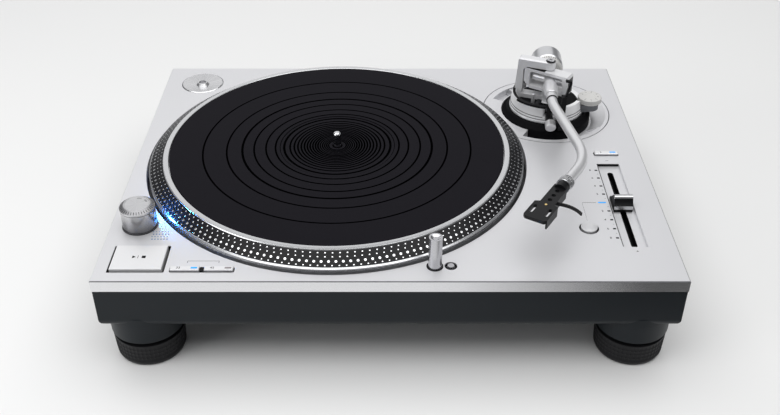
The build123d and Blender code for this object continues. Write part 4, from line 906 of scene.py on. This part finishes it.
# gap in the riser for the cue lever
notch = {"left": armX - 8.6, "right": armX + 3.6, "front": armY - 40, "bottom": 100, "top": 104}
heightGrip = turned("heightGrip", [
    (35.8, 81.8), (42.2, 81.8), (42.2, 90.0), (41.7, 90.9), (38.6, 93.9), (36.9, 95.2), (36.4, 95.5),
    (35.8, 95.5), (35.8, 81.8)], armX, armY, 132)
knurled(heightGrip, lambda face: 91.5 < face.center.z / mm < 93.5 and face.normal.z > 0.2, 0.28, 0.3)
dressed(heightGrip, gripBlack, "height_ring")
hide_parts("height_ring")

riserTeeth = slab("riserTeeth", 30.4, 33.2, -0.42, 0.42, 109.98, 110.55, 0.12, 1)
carried(riserTeeth, spot(armX, armY, 0, 132))
around(riserTeeth, 44, armX, armY, radians(112))
dressed(riserTeeth, blackPlastic, "riser")


def notchCutter(rear):
    return boxCutter(notch["left"], notch["right"], notch["front"], rear, notch["bottom"], notch["top"])


riserFloor = 102.0
riserLines = joined("riserLines", [
    hoop("line", 26.34, 26.66, riserFloor, riserFloor + 0.12, armX, armY, 72),
    hoop("groove", 34.7, 35.1, 98.4, 98.9, armX, armY, 120),
    hoop("groove", 34.4, 34.8, 100.9, 101.4, armX, armY, 120)])
carve(riserLines, notchCutter(armY))
dressed(riserLines, blackPlastic, "riser")

riserStep = turned("riserStep", [(35.25, 96.0), (35.65, 96.0), (35.65, 96.6), (35.2, 96.9), (35.25, 96.0)],
                   armX, armY, 120)
dressed(riserStep, satinSilver, "riser")

floorShade = hoop("floorShade", 9.0, 29.6, riserFloor, riserFloor + 0.12, armX, armY, 96)
carve(floorShade, notchCutter(armY - 26), roundCutter(139.64, 61.29, 2.3, notch["bottom"], notch["top"], 32))
dressed(floorShade, gripBlack, "riser")

# small post on the riser
restPin = turned("restPin", [(0, riserFloor), (1.7, riserFloor), (1.7, 112.4), (1.4, 112.8), (1.1, 112.9),
                             (0, 112.9)], 136.4, 77.6, 28)
dressed(restPin, armSilver, "riser")

skate = {"top": 110.0, "figures": 7.6, "first": 150, "step": 40, "size": 2.3}
skateDial = turned("skateDial", [
    (0, 100.3), (2.0, 100.3), (2.0, 105.0), (10.9, 105.0), (11.2, 105.3), (11.2, 107.2), (11.2, 109.1),
    (10.9, 109.7), (10.3, skate["top"]), (5.2, skate["top"]), (4.9, 109.8), (0, 109.8)], 0, 0, 72)
knurled(skateDial, lambda face: upright(face, 105.3, 109.1, 10), 0.16, 0.25)
dressed(carried(skateDial, spot(*places["skate"], 0)), beigeDial, "skate_knob")
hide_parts("skate_knob")
skateX, skateY = places["skate"]
skateMarks = []
for i in range(8):
    turn = skate["first"] - skate["step"] * i
    across, along = skate["figures"] * cos(radians(turn)), skate["figures"] * sin(radians(turn))
    skateMarks.append(written(str(i), skateX + across, skateY + along, skate["top"], skate["size"], turn - 90))
    tick = mark(9.3, 10.2, -0.12, 0.12, skate["top"])
    skateMarks.append(carried(tick, spot(skateX, skateY, 0, turn)))
dressed(joined("skateMarks", skateMarks), inkAndShadeGrey, "skate_knob")

cue = {"place": (148.8, 59.3, 105.0), "slope": 16.0}
cueAxis = spot(*cue["place"], 0, cue["slope"] + 90)
cueAcross = spot(*cue["place"]) @ Matrix.Rotation(radians(90), 4, "Y")
cueHub = carried(turned("cueHub", [(0, -6.2), (1.2, -6.2), (1.2, -3.6), (2.4, -3.6), (2.6, -3.4), (2.6, 3.4),
                                   (2.4, 3.6), (1.2, 3.6), (1.2, 6.2), (0, 6.2)], 0, 0, 32), cueAcross)
cueStem = carried(turned("cueStem", [(0, 0), (1.6, 0), (2.4, 5.0), (3.4, 11.2), (3.6, 16.0), (0, 16.0)],
                         0, 0, 32), cueAxis)
cueArm = joined("cueArm", [cueStem, cueHub])
dressed(cueArm, blackPlastic, "cue_lever")
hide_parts("cue_lever")
cueTip = carried(turned("cueTip", [(0, 16.0), (4.7, 16.0), (5.0, 16.3), (5.0, 22.3), (4.6, 22.8), (4.0, 22.9),
                                   (0, 22.9)], 0, 0, 48), cueAxis)
dressed(cueTip, armSilver, "cue_lever")

# bridge, gimbal, arm and weight
bridgeRing = hoop("bridgeRing", 3.5, 4.5, 142.7, 142.95, armX, armY, 48)
screwCross = joined("screwCross", [
    carried(slab("bar", -2.0, 2.0, -0.3, 0.3, 144.28, 144.33, 0.01, 1), spot(armX, armY, 0, turn))
    for turn in (20, 110)])
bridgeTrim = joined("bridgeTrim", [bridgeRing, screwCross])
dressed(bridgeTrim, blackPlastic, "riser")
gimbalPlace = spot(armX, armY, arm["z"], arm["gimbal"])
gimbalCaps = []
for side in (-1, 1):
    endCap = turned("endCap", [(0, 22.2), (3.2, 22.2), (3.2, 22.6), (2.9, 22.9), (1.4, 22.9), (1.2, 22.7),
                               (0, 22.7)], 0, 0, 40)
    gimbalCaps.append(carried(endCap, gimbalPlace @ Matrix.Rotation(radians(90 * side), 4, "Y")))
dressed(joined("gimbalCaps", gimbalCaps), blackPlastic, "gimbal")

gimbalShade = joined("gimbalShade", [             # dark faces left, on the left of the top, and right
    slab("shade", -22.34, -22.18, -7.8, 4.3, -7.4, 8.2, 0.03, 1),
    slab("shade", -20.4, -2.0, -7.8, 4.3, 9.98, 10.12, 0.03, 1),
    slab("shade", 22.18, 22.34, -7.2, 3.7, -7.6, 7.6, 0.03, 1)])
dressed(carried(gimbalShade, gimbalPlace), blackPaint, "gimbal")

alongArm = spot(armX, armY, arm["z"], arm["heading"], 90)  # Z runs forward along the arm
sleeveCover = carried(turned("sleeveCover", [(4.6, 13.2), (6.3, 13.2), (6.7, 13.6), (6.8, 24.0), (6.3, 32.4),
                                             (5.6, 33.4), (4.6, 33.4), (4.6, 13.2)], 0, 0, 56), alongArm)
dressed(sleeveCover, armSilver, "arm")
sleeveRing = carried(turned("sleeveRing", [(4.55, 40.6), (5.15, 40.6), (5.15, 41.5), (4.95, 41.7), (4.55, 41.7),
                                           (4.55, 40.6)], 0, 0, 48), alongArm)
dressed(sleeveRing, blackPlastic, "arm")
dial = {"inner": 13.98, "outer": 14.06, "edge": -20.5}
dialMarks = slab("dialMarks", dial["inner"], dial["outer"], -0.15, 0.15, dial["edge"], -17.6, 0.01, 1)
around(dialMarks, 40, 0, 0)
longMarks = slab("longMarks", dial["inner"], dial["outer"], -0.22, 0.22, dial["edge"], -16.4, 0.01, 1)
around(longMarks, 8, 0, 0)
dialInk = carried(joined("dialInk", [dialMarks, longMarks]), alongArm)
dressed(dialInk, inkAndShadeGrey, "force_dial")

shell = {"place": (138.108, -96.040, 123.8), "heading": -31.8}
alongShell = spot(*shell["place"], shell["heading"], 90)
nutProfile = [(4.8, 0.3), (5.8, 0.3), (6.3, 0.8), (6.3, 2.6), (6.3, 4.4), (6.3, 6.2), (6.3, 8.0), (6.0, 8.9),
              (5.3, 10.0), (4.8, 10.0), (4.8, 0.3)]
nutKnurl = turned("nutKnurl", [(r, -z) for r, z in nutProfile], 0, 0, 40)
knurled(nutKnurl, lambda face: upright(face, -8.1, -0.7, 5.5), 0.16, 0.22)
dressed(nutKnurl, satinSilver, "collar_nut")
tinted(nutKnurl, gripBlack, lambda face: face.center.xy.length < 6.16 * mm and -8.1 < face.center.z / mm < -0.7)
carried(nutKnurl, alongShell)
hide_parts("collar_nut")


def wire(name, points, thickness):                # a smooth lead through points in mm
    clearAll()
    bpy.ops.curve.primitive_bezier_curve_add()
    obj = bpy.context.object
    obj.name = name
    line = obj.data.splines[0]
    line.bezier_points.add(len(points) - 2)
    for point, place in zip(line.bezier_points, points):
        point.co = Vector(place) * mm
        point.handle_left_type = "AUTO"
        point.handle_right_type = "AUTO"
    obj.data.bevel_depth = thickness / 2 * mm
    obj.data.bevel_resolution = 2
    obj.data.resolution_u = 8
    obj.data.use_fill_caps = True
    bpy.ops.object.convert(target="MESH")
    return smoothed(bpy.context.object)


shellPlace = spot(*shell["place"], shell["heading"])
leads = (("White", wireWhite, -2.4), ("Blue", wireBlue, -0.8), ("Red", wireRed, 0.8), ("Green", wireGreen, 2.4))
for name, finish, x in leads:
    route = [(x * 0.6, -6.8, -1.6), (x, -12, -2.6), (x * 1.7, -20, -3.4), (x * 1.6, -28, -3.0)]
    dressed(carried(wire("lead" + name, route, 0.8), shellPlace), finish, "headshell")
shellPins = []
for _, _, x in leads:
    pin = turned("pin", [(0, -4.0), (0.65, -4.0), (0.65, 0), (0, 0)], 0, 0, 16)
    shellPins.append(carried(pin, spot(x * 1.6, -28, -3.0, 0, 90)))
shellPins.append(turned("rivet", [(0, 2.2), (1.1, 2.2), (1.1, 2.4), (0.8, 2.6), (0, 2.6)], 0, -33.5, 24))
dressed(carried(joined("shellPins", shellPins), shellPlace), brassMetal, "headshell")
print("tonearm details made")

# rear sockets and the screws underneath
for name, x, finish in (("White", 42.0, wireWhite), ("Red", 58.0, wireRed)):
    collar = turned("socketRing" + name, [(4.2, 0), (5.3, 0), (5.3, 0.9), (5.0, 1.2), (4.2, 1.2), (4.2, 0)],
                    0, 0, 40)
    dressed(carried(collar, spot(x, 158.0, 60.5, 0, -90)), finish, "case")
crosses = []
for x, y in ((-120, -158), (120, -158), (-120, 158), (120, 158), (-212, 0), (212, 0)):
    for turn in (10, 100):
        crosses.append(carried(slab("bar", -2.4, 2.4, -0.4, 0.4, 43.57, 43.62, 0.01, 1), spot(x, y, 0, turn)))
dressed(joined("screwCrosses", crosses), blackPlastic, "case")
print("rear and underside details made")
